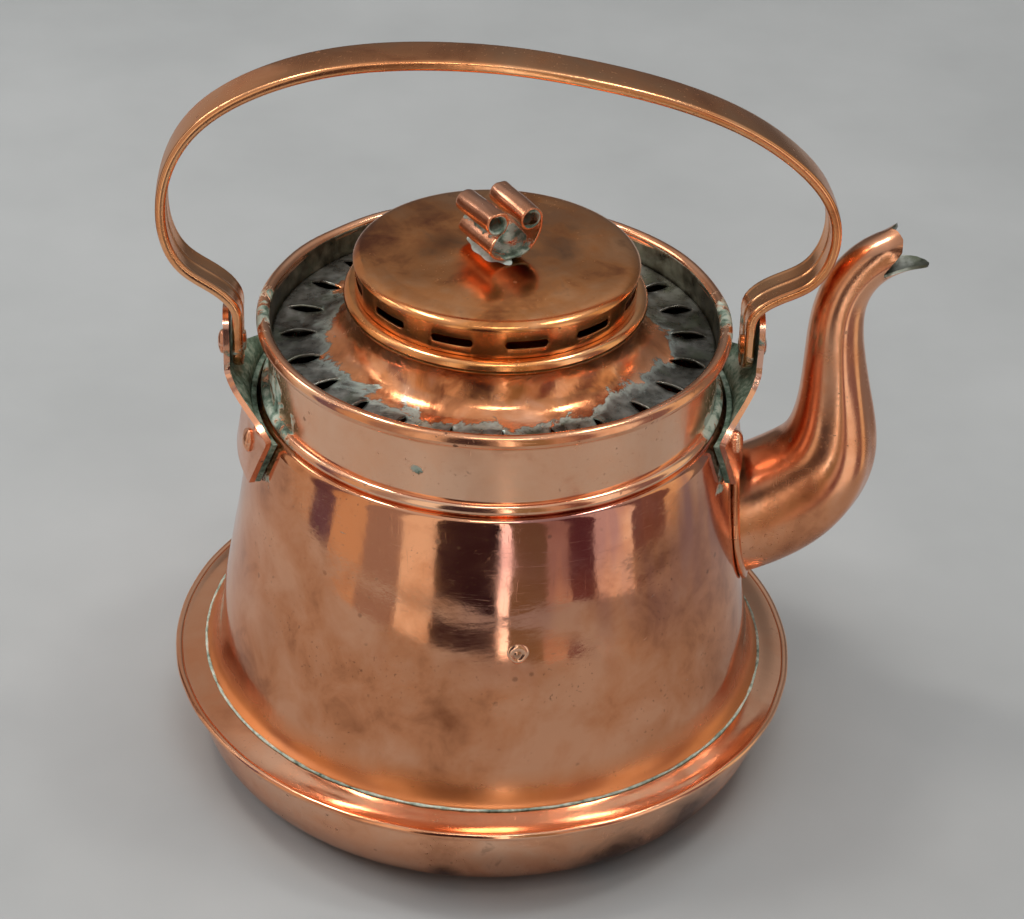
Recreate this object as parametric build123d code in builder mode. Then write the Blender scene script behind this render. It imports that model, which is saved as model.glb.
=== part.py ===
"""Copper stove kettle with a bail handle, a vented insert in the neck and a vented cap.

Millimetres, +Z up. The origin is the centre of the flat bottom of the pan, and +X points to the spout.
Every sheet-metal piece is a solid of its own, grouped by the body that it moves with.
"""
import os
from math import atan, cos, radians, sin

from build123d import *

os.makedirs("parts", exist_ok=True)

# ---- driving dimensions -------------------------------------------------------------------------
SHEET = 1.2                 # copper sheet of the vessel
THIN_SHEET = 1.0            # copper sheet of the insert and the cap

BRIM_R = 135.0              # outer radius of the brim, with its wired edge
BRIM_Z = 40.5               # height of the brim's edge
BRIM_WIRE_R = 1.7           # radius of the wired edge
FOOT_R = 120.6              # outer radius of the body's flared foot
FOOT_Z = 42.6               # height of the brim where the foot stands

CONE_R = 117.45             # radius that the cone would have at the height of the brim's edge
CONE_SLOPE = 0.161          # radius lost per unit of height
FLARE_TOP_Z = 47.3          # where the flare of the foot begins
SHOULDER_Z = 167.6          # top of the body's shoulder
SHOULDER_ROUND = 3.0        # rounding of the shoulder's edge
LEDGE_R = 86.0              # inner radius of the ledge that the insert stands on

NECK_R = 92.6               # outer radius of the neck
NECK_TOP = 203.0            # top edge of the neck band, inside its rolled rim
RIM_Z = 202.3               # centre height of the rolled rim
RIM_HALF_W = 2.8            # half width and half height of the rolled rim's section
RIM_HALF_H = 3.2
BEAD_R = 2.8                # radius of the half-round shoulder bead

EAR_PLATE = 2.4             # thickness of an ear
EAR_BACKING = 2.6           # thickness of the plate behind it
EAR_LOW_Z = 144.0           # bottom edge of an ear
EAR_BEND_Z = 169.5          # where an ear leaves the body
EAR_TAB_Z = 178.5           # where its upright tab begins
EAR_TAB_R = 109.2           # middle of the tab's thickness, from the kettle's axis
EAR_LOW_HALF = 35.5         # half widths: bottom edge, shoulders, tab
EAR_WIDE_HALF = 44.5
EAR_TAB_HALF = 12.0
PIVOT_Z = 189.8             # height of the bail's pivot axis
TAB_TOP = 4.0               # centre of the tab's round top above the pivot
RIVET_Z = 158.5             # height of the ear rivets
RIVET_ANGLE = 15.0          # their angle each side of the ear's middle
RIVET_R = 2.5               # radii: shank, domed head, inner head
RIVET_HEAD_R = 5.0
RIVET_DOME = 3.0
PIN_R = 3.0                 # pivot pin
PIN_PLAY = 0.05             # running clearance round the pin

BAIL_WIDTH = 20.0
BAIL_THICK = 4.5
BAIL_FOOT_X = 104.4         # middle of the strap's upright feet
BAIL_EDGE = 1.9             # rounding of the strap's long edges

INSERT_R = 91.0             # outer radius of the insert's sleeve and shelf
SHELF_Z = 191.6             # underside of the shelf
SHELF_FLAT_R = 79.0         # where the shelf turns up into the bell
BELL_TOP_R = 57.3           # outer radius of the bell's mouth
RING_Z = 210.0              # underside of the seat ring
RING_TOP = 216.5
RING_R = 61.8
RING_BORE = 56.3
SLITS = 24                  # radial vent slits in the shelf
SLIT_MID_R = 80.0
SLIT_LONG = 13.0
SLIT_WIDE = 2.0
REST_GAP = 0.1              # hair gap under a piece that only rests

CAP_SLEEVE_R = 56.0
CAP_SLEEVE_Z = 206.5
DRUM_R = 57.0
DRUM_TOP = 228.2
DISC_R = 58.0
DISC_RISE = 6.3             # height of the cap disc above the top of the drum
VENTS = 12                  # slots round the drum
VENT_Z = 222.3
VENT_LONG = 17.5
VENT_HIGH = 3.4
VENT_PHASE = 9.6            # angle of the first slot from +X

KNOB_Z = 235.2              # underside of the knob strip
KNOB_LONG = 25.0
KNOB_SHEET = 1.0
KNOB_TURN = -62.0           # direction of the scroll tubes, from +X

# Spout: centre line (x, z) and outer radius at each station, from the body's wall to the mouth
SPOUT = [
    (96.0, 104.5, 27.6), (111.5, 109.0, 27.2), (124.0, 115.0, 26.8), (136.0, 125.0, 25.4),
    (143.0, 137.0, 23.0), (144.6, 150.0, 19.5), (143.6, 166.0, 16.0), (141.6, 184.0, 13.2),
    (140.4, 201.0, 11.5), (141.6, 213.5, 10.6), (147.2, 225.0, 10.0), (157.5, 233.6, 9.7),
    (168.0, 236.6, 9.5), (179.0, 237.0, 9.4),
]
COLLAR_R = 30.0             # radius of the plate round the spout's foot
COLLAR_PLATE = 2.2
COLLAR_Z = 107.5            # height of its middle


def cone_r(z):
    """Outer radius of the conical body at height z."""
    return CONE_R - CONE_SLOPE * (z - BRIM_Z)


def save(part, name):
    """Label a finished piece and write it as its own file."""
    part.label = name
    export_step(part, f"parts/{name}.step")


# ---- base pan, brim and foot --------------------------------------------------------------------
PAN_TOP_R = 130.0           # pan wall just under the brim
PAN_TOP_Z = 39.0
PAN_FLAT_R = 107.0          # flat of the bottom

with BuildPart() as base_pan:
    with BuildSketch(Plane.XZ):
        with BuildLine():
            outer = Spline((PAN_FLAT_R, 0), (118.5, 4.5), (125.5, 17.0), (PAN_TOP_R, PAN_TOP_Z),
                           tangents=[(1, 0), (0.1, 1)])
            Line(outer @ 1, (PAN_TOP_R - SHEET, PAN_TOP_Z))
            inner = Spline((PAN_TOP_R - SHEET, PAN_TOP_Z), (124.3, 17.2), (117.8, 5.5),
                           (PAN_FLAT_R, SHEET), tangents=[(-0.1, -1), (-1, 0)])
            Polyline(inner @ 1, (0, SHEET), (0, 0), (PAN_FLAT_R, 0))
        make_face()
    revolve(axis=Axis.Z)

BRIM_INNER_R = 112.0        # the brim runs in under the body's wall
BRIM_SECTION = [
    (BRIM_INNER_R, FOOT_Z - SHEET), (BRIM_R - BRIM_WIRE_R, PAN_TOP_Z),
    (BRIM_R - BRIM_WIRE_R, PAN_TOP_Z + SHEET), (FOOT_R, FOOT_Z), (BRIM_INNER_R, FOOT_Z),
]

with BuildPart() as brim_plate:
    with BuildSketch(Plane.XZ):
        with BuildLine():
            Polyline(*BRIM_SECTION, close=True)
        make_face()
    revolve(axis=Axis.Z)
    add(base_pan.part, mode=Mode.SUBTRACT)

with BuildPart() as brim_bead:
    with BuildSketch(Plane.XZ):
        with Locations((BRIM_R - BRIM_WIRE_R, PAN_TOP_Z + SHEET / 2)):
            Circle(BRIM_WIRE_R)
        with BuildLine():
            Polyline(*BRIM_SECTION, close=True)
        make_face(mode=Mode.SUBTRACT)
    revolve(axis=Axis.Z)

# ---- conical body -------------------------------------------------------------------------------
with BuildPart() as body_space:
    with BuildSketch(Plane.XZ):
        with BuildLine():
            foot = (FOOT_R, FOOT_Z)
            flare_top = (cone_r(FLARE_TOP_Z), FLARE_TOP_Z)
            flare = ThreePointArc(foot, (cone_r(FLARE_TOP_Z) + 1.2, FOOT_Z + 1.4), flare_top)
            edge = (cone_r(SHOULDER_Z), SHOULDER_Z)
            Polyline(flare_top, edge, (0, SHOULDER_Z), (0, FOOT_Z), foot)
        make_face()
        shoulder = vertices().sort_by_distance(edge)[0]
        fillet(shoulder, radius=SHOULDER_ROUND)
    revolve(axis=Axis.Z)


def spout_stations(shrink):
    """Centre, direction and radius of each spout section, made smaller by shrink."""
    stations = []
    last = len(SPOUT) - 1
    for i, (x, z, r) in enumerate(SPOUT):
        before = SPOUT[max(i - 1, 0)]
        after = SPOUT[min(i + 1, last)]
        heading = Vector(after[0] - before[0], 0, after[1] - before[1])
        stations.append((Plane(origin=(x, 0, z), x_dir=(0, 1, 0), z_dir=heading), r - shrink))
    return stations


with BuildPart() as spout_outside:
    for plane, radius in spout_stations(0):
        with BuildSketch(plane):
            Circle(radius)
    loft()

with BuildPart() as spout_channel:
    for plane, radius in spout_stations(SHEET):
        with BuildSketch(plane):
            Circle(radius)
    loft()


def radial_plane(angle, z, offset=0.0):
    """Plane that touches the cone at an angle and height, its Z axis pointing straight out."""
    tilt = atan(CONE_SLOPE)
    out = Vector(cos(radians(angle)) * cos(tilt), sin(radians(angle)) * cos(tilt), sin(tilt))
    foot_point = Vector(cone_r(z) * cos(radians(angle)), cone_r(z) * sin(radians(angle)), z)
    return Plane(origin=foot_point + out * offset, z_dir=out)


RIVET_ANGLES = [side + turn for side in (0, 180) for turn in (-RIVET_ANGLE, RIVET_ANGLE)]
PLUG_ANGLE = -86.0          # the repair plug, seen from the front
PLUG_Z = 110.3
PLUG_R = 2.0

with BuildPart() as body_cone:
    add(body_space.part)
    with BuildSketch(Plane.XZ):
        with BuildLine():
            Polyline((0, FOOT_Z), (cone_r(FOOT_Z) - SHEET, FOOT_Z),
                     (cone_r(SHOULDER_Z) - SHEET, SHOULDER_Z - SHEET), (LEDGE_R, SHOULDER_Z - SHEET),
                     (LEDGE_R, SHOULDER_Z), (0, SHOULDER_Z), close=True)
        make_face()
    revolve(axis=Axis.Z, mode=Mode.SUBTRACT)
    add(spout_channel.part, mode=Mode.SUBTRACT)
    for angle in RIVET_ANGLES:
        with BuildSketch(radial_plane(angle, RIVET_Z)):
            Circle(RIVET_R)
        extrude(amount=8, both=True, mode=Mode.SUBTRACT)
    with BuildSketch(radial_plane(PLUG_ANGLE, PLUG_Z)):
        Circle(PLUG_R)
    extrude(amount=8, both=True, mode=Mode.SUBTRACT)

with BuildPart() as foot_solder:
    with BuildSketch(Plane.XZ):
        with BuildLine():
            Polyline((FOOT_R, FOOT_Z), (FOOT_R + 1.4, FOOT_Z - 0.17), (FOOT_R, FOOT_Z + 0.7), close=True)
        make_face()
    revolve(axis=Axis.Z)
    add(brim_plate.part, mode=Mode.SUBTRACT)
    add(body_cone.part, mode=Mode.SUBTRACT)

# ---- neck ---------------------------------------------------------------------------------------
with BuildPart() as neck_collar:
    with BuildSketch(Plane.XY.offset(SHOULDER_Z)):
        Circle(NECK_R)
        Circle(NECK_R - SHEET, mode=Mode.SUBTRACT)
    extrude(amount=NECK_TOP - SHOULDER_Z)

with BuildPart() as shoulder_bead:
    with BuildSketch(Plane.XZ):
        with Locations((NECK_R, SHOULDER_Z + BEAD_R)):
            Circle(BEAD_R)
        with Locations((NECK_R - BEAD_R, SHOULDER_Z + BEAD_R)):
            Rectangle(2 * BEAD_R, 3 * BEAD_R, mode=Mode.SUBTRACT)
    revolve(axis=Axis.Z)

with BuildPart() as neck_rim_roll:
    with BuildSketch(Plane.XZ):
        with Locations((NECK_R - SHEET + RIM_HALF_W, RIM_Z)):
            Ellipse(RIM_HALF_W, RIM_HALF_H)
    revolve(axis=Axis.Z)
    add(neck_collar.part, mode=Mode.SUBTRACT)

# ---- spout --------------------------------------------------------------------------------------
BEAK_NOTCH = (157.5, 232.8)     # corner of the open beak, seen from the side
BEAK_TIP = (176.0, 228.6)       # tip of the lower lip
HOOD_TOP = (160.0, 249.0)       # top of the upper lip
HOOD_MIDDLE = (166.0, 239.8)    # foremost point of the upper lip's edge
NOSE_X = 159.0                  # where the pointed nose begins, seen from above, and its half width
NOSE_HALF = 12.0
CLEAR_HALF = 30.0               # the cut reaches past the pipe on every side
BEYOND_X = 200.0
ABOVE_Z = 260.0
BELOW_Z = 215.0

with BuildPart() as spout_pipe:
    add(spout_outside.part)
    add(spout_channel.part, mode=Mode.SUBTRACT)
    add(body_space.part, mode=Mode.SUBTRACT)
    with BuildSketch(Plane.XZ):
        with BuildLine():
            ThreePointArc(BEAK_NOTCH, HOOD_MIDDLE, HOOD_TOP)
            Polyline(HOOD_TOP, (BEYOND_X, ABOVE_Z), (BEYOND_X, BELOW_Z), (BEAK_TIP[0], BELOW_Z), BEAK_TIP,
                     BEAK_NOTCH)
        make_face()
    extrude(amount=40, both=True, mode=Mode.SUBTRACT)
    with BuildSketch(Plane.XY.offset(200)):
        with BuildLine():
            nose = Spline((NOSE_X, NOSE_HALF), (171.0, 6.8), (BEAK_TIP[0], 0.0), (171.0, -6.8),
                          (NOSE_X, -NOSE_HALF))
            Polyline(nose @ 1, (NOSE_X, -CLEAR_HALF), (BEYOND_X, -CLEAR_HALF), (BEYOND_X, CLEAR_HALF),
                     (NOSE_X, CLEAR_HALF), nose @ 0)
        make_face()
    extrude(amount=60, mode=Mode.SUBTRACT)

with BuildPart() as spout_collar:
    with BuildSketch(Plane.XZ):
        with BuildLine():
            Polyline((cone_r(60), 60), (cone_r(160), 160), (cone_r(160) + COLLAR_PLATE, 160),
                     (cone_r(60) + COLLAR_PLATE, 60), close=True)
        make_face()
    revolve(axis=Axis.Z)
    with BuildSketch(Plane.YZ):
        with Locations((0, COLLAR_Z)):
            Circle(COLLAR_R)
    extrude(amount=140, mode=Mode.INTERSECT)
    add(spout_outside.part, mode=Mode.SUBTRACT)

# ---- ears and rivets ----------------------------------------------------------------------------
def ear_profile_points():
    """Middle line of an ear's thickness: up the body, out over the shoulder, up the tab."""
    lift = EAR_BACKING + EAR_PLATE / 2
    return [(cone_r(EAR_LOW_Z) + lift, EAR_LOW_Z), (cone_r(EAR_BEND_Z) + lift, EAR_BEND_Z),
            (EAR_TAB_R, EAR_TAB_Z), (EAR_TAB_R, PIVOT_Z + TAB_TOP + EAR_TAB_HALF + 1)]


with BuildPart() as ear_shape:
    with BuildSketch(Plane.XZ):
        with BuildLine():
            FilletPolyline(*ear_profile_points(), radius=4)
        trace(line_width=EAR_PLATE)
    revolve(axis=Axis.Z)
    with BuildSketch(Plane.YZ):
        with BuildLine():
            tab_end = PIVOT_Z + TAB_TOP
            low_right = (EAR_LOW_HALF, EAR_LOW_Z)
            wide_right = (EAR_WIDE_HALF, EAR_BEND_Z - 0.5)
            Line((0, EAR_LOW_Z), low_right)
            Line(low_right, wide_right)
            waist = ThreePointArc(wide_right, (26.0, EAR_TAB_Z - 4.0), (EAR_TAB_HALF, EAR_TAB_Z + 6.0))
            Line(waist @ 1, (EAR_TAB_HALF, tab_end))
            RadiusArc((EAR_TAB_HALF, tab_end), (0, tab_end + EAR_TAB_HALF), -EAR_TAB_HALF)
            mirror(about=Plane.YZ)
        make_face()
    extrude(amount=140, mode=Mode.INTERSECT)
    for angle in (-RIVET_ANGLE, RIVET_ANGLE):
        with BuildSketch(radial_plane(angle, RIVET_Z)):
            Circle(RIVET_R)
        extrude(amount=12, both=True, mode=Mode.SUBTRACT)
    with BuildSketch(Plane.YZ):
        with Locations((0, PIVOT_Z)):
            Circle(PIN_R)
    extrude(amount=140, mode=Mode.SUBTRACT)

with BuildPart() as backing_shape:
    with BuildSketch(Plane.XZ):
        with BuildLine():
            Polyline((cone_r(EAR_LOW_Z), EAR_LOW_Z), (cone_r(EAR_LOW_Z) + EAR_BACKING, EAR_LOW_Z),
                     (cone_r(EAR_BEND_Z - 3) + EAR_BACKING, EAR_BEND_Z - 3),
                     (cone_r(EAR_BEND_Z - 3), EAR_BEND_Z - 3), close=True)
        make_face()
    revolve(axis=Axis.Z)
    with BuildSketch(Plane.YZ):
        with BuildLine():
            Polyline((-EAR_LOW_HALF, EAR_LOW_Z), (EAR_LOW_HALF, EAR_LOW_Z),
                     (EAR_WIDE_HALF, EAR_BEND_Z - 0.5), (-EAR_WIDE_HALF, EAR_BEND_Z - 0.5), close=True)
        make_face()
    extrude(amount=140, mode=Mode.INTERSECT)
    add(body_space.part, mode=Mode.SUBTRACT)
    add(ear_shape.part, mode=Mode.SUBTRACT)
    for angle in (-RIVET_ANGLE, RIVET_ANGLE):
        with BuildSketch(radial_plane(angle, RIVET_Z)):
            Circle(RIVET_R)
        extrude(amount=12, both=True, mode=Mode.SUBTRACT)

front_ear = ear_shape.part
front_backing = backing_shape.part
rear_ear = ear_shape.part.rotate(Axis.Z, 180)
rear_backing = backing_shape.part.rotate(Axis.Z, 180)

INNER_HEAD = 1.5            # how far a rivet's inner head stands out round its shank, and its height
CONE_TAPER = 20             # a domed head is a steep cone under a flat one
TIP_TAPER = 55
DOME_FOOT = 0.5             # shares of a dome's height in its two cones
DOME_TIP = 0.45

with BuildPart() as ear_rivets:
    head_base = EAR_BACKING + EAR_PLATE - 0.6
    for angle in RIVET_ANGLES:
        with BuildSketch(radial_plane(angle, RIVET_Z, -SHEET - INNER_HEAD)):
            Circle(RIVET_R + INNER_HEAD)
        extrude(amount=2 * INNER_HEAD)
        with BuildSketch(radial_plane(angle, RIVET_Z, -SHEET - 1)):
            Circle(RIVET_R)
        extrude(amount=10)
        with BuildSketch(radial_plane(angle, RIVET_Z, head_base)):
            Circle(RIVET_HEAD_R)
        extrude(amount=RIVET_DOME * DOME_FOOT, taper=CONE_TAPER)
        with BuildSketch(radial_plane(angle, RIVET_Z, head_base + RIVET_DOME * DOME_FOOT)):
            Circle(RIVET_HEAD_R - 0.55)
        extrude(amount=RIVET_DOME * DOME_TIP, taper=TIP_TAPER)
    for plate in (body_cone.part, front_ear, rear_ear, front_backing, rear_backing):
        add(plate, mode=Mode.SUBTRACT)

PLUG_RIM = 2.2              # how far the plug's outer disc stands out round its shank
PLUG_DISC = 1.7

with BuildPart() as body_plug:
    with BuildSketch(radial_plane(PLUG_ANGLE, PLUG_Z, -SHEET - 1.2)):
        Circle(PLUG_R + INNER_HEAD)
    extrude(amount=2)
    with BuildSketch(radial_plane(PLUG_ANGLE, PLUG_Z, -SHEET - 0.5)):
        Circle(PLUG_R)
    extrude(amount=3)
    with BuildSketch(radial_plane(PLUG_ANGLE, PLUG_Z, -0.8)):
        Circle(PLUG_R + PLUG_RIM)
    extrude(amount=PLUG_DISC, taper=15)
    add(body_cone.part, mode=Mode.SUBTRACT)

# ---- bail handle --------------------------------------------------------------------------------
# Middle line of the strap in the plane of the ears: rear foot, rear bulge, arch, front bulge, front foot
BAIL_LINE = [
    (-BAIL_FOOT_X, 201.0), (-BAIL_FOOT_X, 207.0), (-111.0, 216.6), (-124.8, 227.0), (-133.3, 253.0),
    (-120.3, 286.8), (-77.3, 311.2), (-20.0, 317.2), (52.8, 306.0), (116.4, 276.0),
    (134.8, 246.0), (126.8, 222.4), (111.2, 213.8), (BAIL_FOOT_X, 206.0), (BAIL_FOOT_X, 200.0),
]
FOOT_END = PIVOT_Z - BAIL_WIDTH / 2

with BuildPart() as bail_strap:
    with BuildLine(Plane.XZ) as bail_route:
        Line((-BAIL_FOOT_X, FOOT_END), BAIL_LINE[0])
        Spline(*BAIL_LINE)
        Line(BAIL_LINE[-1], (BAIL_FOOT_X, FOOT_END))
    with BuildSketch(Plane(origin=(-BAIL_FOOT_X, 0, FOOT_END), z_dir=(0, 0, 1))):
        RectangleRounded(BAIL_THICK, BAIL_WIDTH, BAIL_EDGE)
    sweep(path=bail_route.wires()[0])
    with BuildSketch(Plane.YZ):
        with Locations((0, PIVOT_Z - BAIL_WIDTH / 2)):
            Rectangle(BAIL_WIDTH + 4, BAIL_WIDTH)
        with Locations((0, PIVOT_Z)):
            Circle(BAIL_WIDTH / 2, mode=Mode.SUBTRACT)
    extrude(amount=140, both=True, mode=Mode.SUBTRACT)
    with BuildSketch(Plane.YZ):
        with Locations((0, PIVOT_Z)):
            Circle(PIN_R + PIN_PLAY)
    extrude(amount=140, both=True, mode=Mode.SUBTRACT)

PIN_HEAD_X = EAR_TAB_R + EAR_PLATE / 2
PIN_CLINCH_X = BAIL_FOOT_X - BAIL_THICK / 2 - 0.3
PIN_CLINCH = 1.8            # thickness of the clinched end, and how far it stands out round the pin
PIN_CLINCH_RIM = 1.6
PIN_DOME_FOOT = 1.6         # heights of the two cones of the domed head
PIN_DOME_TIP = 1.4

with BuildPart() as pivot_shape:
    with BuildSketch(Plane.YZ.offset(PIN_CLINCH_X - PIN_CLINCH)):
        with Locations((0, PIVOT_Z)):
            Circle(PIN_R + PIN_CLINCH_RIM)
    extrude(amount=PIN_CLINCH)
    with BuildSketch(Plane.YZ.offset(PIN_CLINCH_X - 0.5)):
        with Locations((0, PIVOT_Z)):
            Circle(PIN_R)
    extrude(amount=PIN_HEAD_X - PIN_CLINCH_X + 1)
    with BuildSketch(Plane.YZ.offset(PIN_HEAD_X - 0.3)):
        with Locations((0, PIVOT_Z)):
            Circle(RIVET_HEAD_R)
    extrude(amount=PIN_DOME_FOOT + 0.3, taper=CONE_TAPER)
    with BuildSketch(Plane.YZ.offset(PIN_HEAD_X + PIN_DOME_FOOT)):
        with Locations((0, PIVOT_Z)):
            Circle(RIVET_HEAD_R - 0.7)
    extrude(amount=PIN_DOME_TIP, taper=TIP_TAPER)
    add(front_ear, mode=Mode.SUBTRACT)

# ---- insert -------------------------------------------------------------------------------------
SLEEVE_Z = SHOULDER_Z + REST_GAP

with BuildPart() as insert_sleeve:
    with BuildSketch(Plane.XY.offset(SLEEVE_Z)):
        Circle(INSERT_R)
        Circle(INSERT_R - THIN_SHEET, mode=Mode.SUBTRACT)
    extrude(amount=SHELF_Z - SLEEVE_Z)

with BuildPart() as insert_bell:
    with BuildSketch(Plane.XZ):
        with BuildLine():
            Line((INSERT_R, SHELF_Z), (INSERT_R, SHELF_Z + THIN_SHEET))
            Line((INSERT_R, SHELF_Z + THIN_SHEET), (SHELF_FLAT_R, SHELF_Z + THIN_SHEET))
            above = Spline((SHELF_FLAT_R, SHELF_Z + THIN_SHEET), (64.0, 197.2), (BELL_TOP_R, RING_Z),
                           tangents=[(-1, 0), (0, 1)])
            Line(above @ 1, (BELL_TOP_R - THIN_SHEET, RING_Z))
            below = Spline((BELL_TOP_R - THIN_SHEET, RING_Z), (63.3, 196.4), (SHELF_FLAT_R, SHELF_Z),
                           tangents=[(0, -1), (1, 0)])
            Line(below @ 1, (INSERT_R, SHELF_Z))
        make_face()
    revolve(axis=Axis.Z)
    with BuildSketch(Plane.XY.offset(SHELF_Z - 1)):
        with PolarLocations(SLIT_MID_R, SLITS):
            Rectangle(SLIT_LONG, SLIT_WIDE)
    extrude(amount=THIN_SHEET + 12, mode=Mode.SUBTRACT)

with BuildPart() as insert_ring:
    with BuildSketch(Plane.XZ):
        with BuildLine():
            Polyline((BELL_TOP_R + 1.0, RING_Z), (RING_BORE, RING_Z), (RING_BORE, RING_TOP),
                     (BELL_TOP_R + 1.0, RING_TOP))
            ThreePointArc((BELL_TOP_R + 1.0, RING_TOP), (RING_R, (RING_Z + RING_TOP) / 2),
                          (BELL_TOP_R + 1.0, RING_Z))
        make_face()
    revolve(axis=Axis.Z)

# ---- cap ----------------------------------------------------------------------------------------
with BuildPart() as cap_sleeve:
    with BuildSketch(Plane.XY.offset(CAP_SLEEVE_Z)):
        Circle(CAP_SLEEVE_R)
        Circle(CAP_SLEEVE_R - THIN_SHEET, mode=Mode.SUBTRACT)
    extrude(amount=VENT_Z - VENT_HIGH / 2 - 1 - CAP_SLEEVE_Z)

with BuildPart() as cap_drum:
    with BuildSketch(Plane.XY.offset(RING_TOP + REST_GAP)):
        Circle(DRUM_R)
        Circle(DRUM_R - THIN_SHEET, mode=Mode.SUBTRACT)
    extrude(amount=DRUM_TOP - RING_TOP - REST_GAP)
    for i in range(VENTS):
        turned = Plane.YZ.rotated((0, 0, VENT_PHASE + i * 360 / VENTS))
        with BuildSketch(turned):
            with Locations((0, VENT_Z)):
                SlotOverall(VENT_LONG, VENT_HIGH)
        extrude(amount=DRUM_R + 5, mode=Mode.SUBTRACT)

with BuildPart() as cap_disc:
    with BuildSketch(Plane.XZ):
        with BuildLine():
            dome_edge = (DISC_R, DRUM_TOP + THIN_SHEET)
            dome = Spline(dome_edge, (30.0, DRUM_TOP + 0.83 * DISC_RISE), (0, DRUM_TOP + DISC_RISE),
                          tangents=[(-1, 0.22), (-1, 0)])
            Line(dome @ 1, (0, DRUM_TOP + DISC_RISE - THIN_SHEET))
            under = Spline((0, DRUM_TOP + DISC_RISE - THIN_SHEET),
                           (30.0, DRUM_TOP + 0.83 * DISC_RISE - THIN_SHEET), (DRUM_R - 2, DRUM_TOP),
                           tangents=[(1, 0), (1, -0.22)])
            Polyline(under @ 1, (DISC_R, DRUM_TOP), dome_edge)
        make_face()
    revolve(axis=Axis.Z)

KNOB_PLANE = Plane(origin=(0, 0, KNOB_Z), z_dir=(cos(radians(KNOB_TURN)), sin(radians(KNOB_TURN)), 0),
                   x_dir=(-sin(radians(KNOB_TURN)), cos(radians(KNOB_TURN)), 0))
SCROLL_X = 6.6              # centre and radius of each scroll, from the knob's middle line
SCROLL_Z = 17.2
SCROLL_R = 3.9

with BuildPart() as knob_scroll:
    with BuildSketch(KNOB_PLANE):
        with BuildLine():
            Spline((-SCROLL_X + SCROLL_R, SCROLL_Z), (-6.4, 12.4), (-10.3, 7.4), (-7.2, 1.9),
                   (0, KNOB_SHEET / 2), (7.2, 1.9), (10.3, 7.4), (6.4, 12.4),
                   (SCROLL_X - SCROLL_R, SCROLL_Z), tangents=[(0, -1), (0, 1)])
        trace(line_width=KNOB_SHEET)
        with Locations((-SCROLL_X, SCROLL_Z), (SCROLL_X, SCROLL_Z)):
            Circle(SCROLL_R + KNOB_SHEET / 2)
            Circle(SCROLL_R - KNOB_SHEET / 2, mode=Mode.SUBTRACT)
    extrude(amount=KNOB_LONG / 2, both=True)

with BuildPart() as knob_solder:
    with BuildSketch(Plane.XY.offset(KNOB_Z - 1.2)):
        with Locations(Rotation(0, 0, KNOB_TURN)):
            Ellipse(KNOB_LONG / 2 + 1, 7.5)
    extrude(amount=1.2)
    add(cap_disc.part, mode=Mode.SUBTRACT)
    add(knob_scroll.part, mode=Mode.SUBTRACT)

# ---- write every piece --------------------------------------------------------------------------
PIECES = {
    "base_pan": base_pan.part, "brim_plate": brim_plate.part, "brim_bead": brim_bead.part,
    "foot_solder": foot_solder.part, "body_cone": body_cone.part, "neck_collar": neck_collar.part,
    "shoulder_bead": shoulder_bead.part, "neck_rim_roll": neck_rim_roll.part,
    "spout_pipe": spout_pipe.part, "spout_collar": spout_collar.part,
    "front_ear": front_ear, "rear_ear": rear_ear,
    "front_ear_backing": front_backing, "rear_ear_backing": rear_backing,
    "ear_rivets": ear_rivets.part, "front_pivot_rivet": pivot_shape.part,
    "rear_pivot_rivet": pivot_shape.part.rotate(Axis.Z, 180), "body_plug": body_plug.part,
    "bail_strap": bail_strap.part,
    "insert_sleeve": insert_sleeve.part, "insert_bell": insert_bell.part, "insert_ring": insert_ring.part,
    "cap_sleeve": cap_sleeve.part, "cap_drum": cap_drum.part, "cap_disc": cap_disc.part,
    "knob_scroll": knob_scroll.part, "knob_solder": knob_solder.part,
}
for piece_name, piece in PIECES.items():
    save(piece, piece_name)
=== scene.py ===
"""Looks of a copper stove kettle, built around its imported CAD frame.

Profiles are in millimetres, as (radius, height) or (x, height), and become metres when a mesh is made.
Driving sizes are read from the frame's boxes; every sheet-metal piece is a closed mesh of its own.
"""

from math import atan2, cos, pi, radians, sin, sqrt

import bmesh
import bpy
import numpy as np
from mathutils import Matrix, Vector


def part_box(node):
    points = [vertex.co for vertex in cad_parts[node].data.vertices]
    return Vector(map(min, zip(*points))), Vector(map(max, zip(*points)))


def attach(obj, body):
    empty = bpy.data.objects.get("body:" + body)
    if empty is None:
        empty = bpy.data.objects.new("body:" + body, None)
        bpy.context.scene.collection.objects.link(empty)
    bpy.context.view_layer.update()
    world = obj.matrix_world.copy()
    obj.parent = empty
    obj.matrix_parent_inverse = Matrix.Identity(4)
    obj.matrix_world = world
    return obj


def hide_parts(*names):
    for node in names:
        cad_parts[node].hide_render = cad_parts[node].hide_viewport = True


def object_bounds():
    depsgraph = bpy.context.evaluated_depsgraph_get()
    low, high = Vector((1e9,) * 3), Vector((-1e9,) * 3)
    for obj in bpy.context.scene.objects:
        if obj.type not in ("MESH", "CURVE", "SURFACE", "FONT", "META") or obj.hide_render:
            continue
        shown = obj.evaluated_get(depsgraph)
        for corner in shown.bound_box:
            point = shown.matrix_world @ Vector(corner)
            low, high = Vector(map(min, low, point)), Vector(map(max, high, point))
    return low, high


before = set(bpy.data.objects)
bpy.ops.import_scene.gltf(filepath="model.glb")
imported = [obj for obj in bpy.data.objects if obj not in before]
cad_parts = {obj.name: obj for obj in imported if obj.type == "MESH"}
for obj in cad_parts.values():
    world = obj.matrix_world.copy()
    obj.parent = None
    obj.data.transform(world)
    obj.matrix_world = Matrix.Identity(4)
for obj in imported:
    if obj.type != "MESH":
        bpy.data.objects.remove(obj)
CAD_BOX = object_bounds()

MM = 0.001


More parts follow.
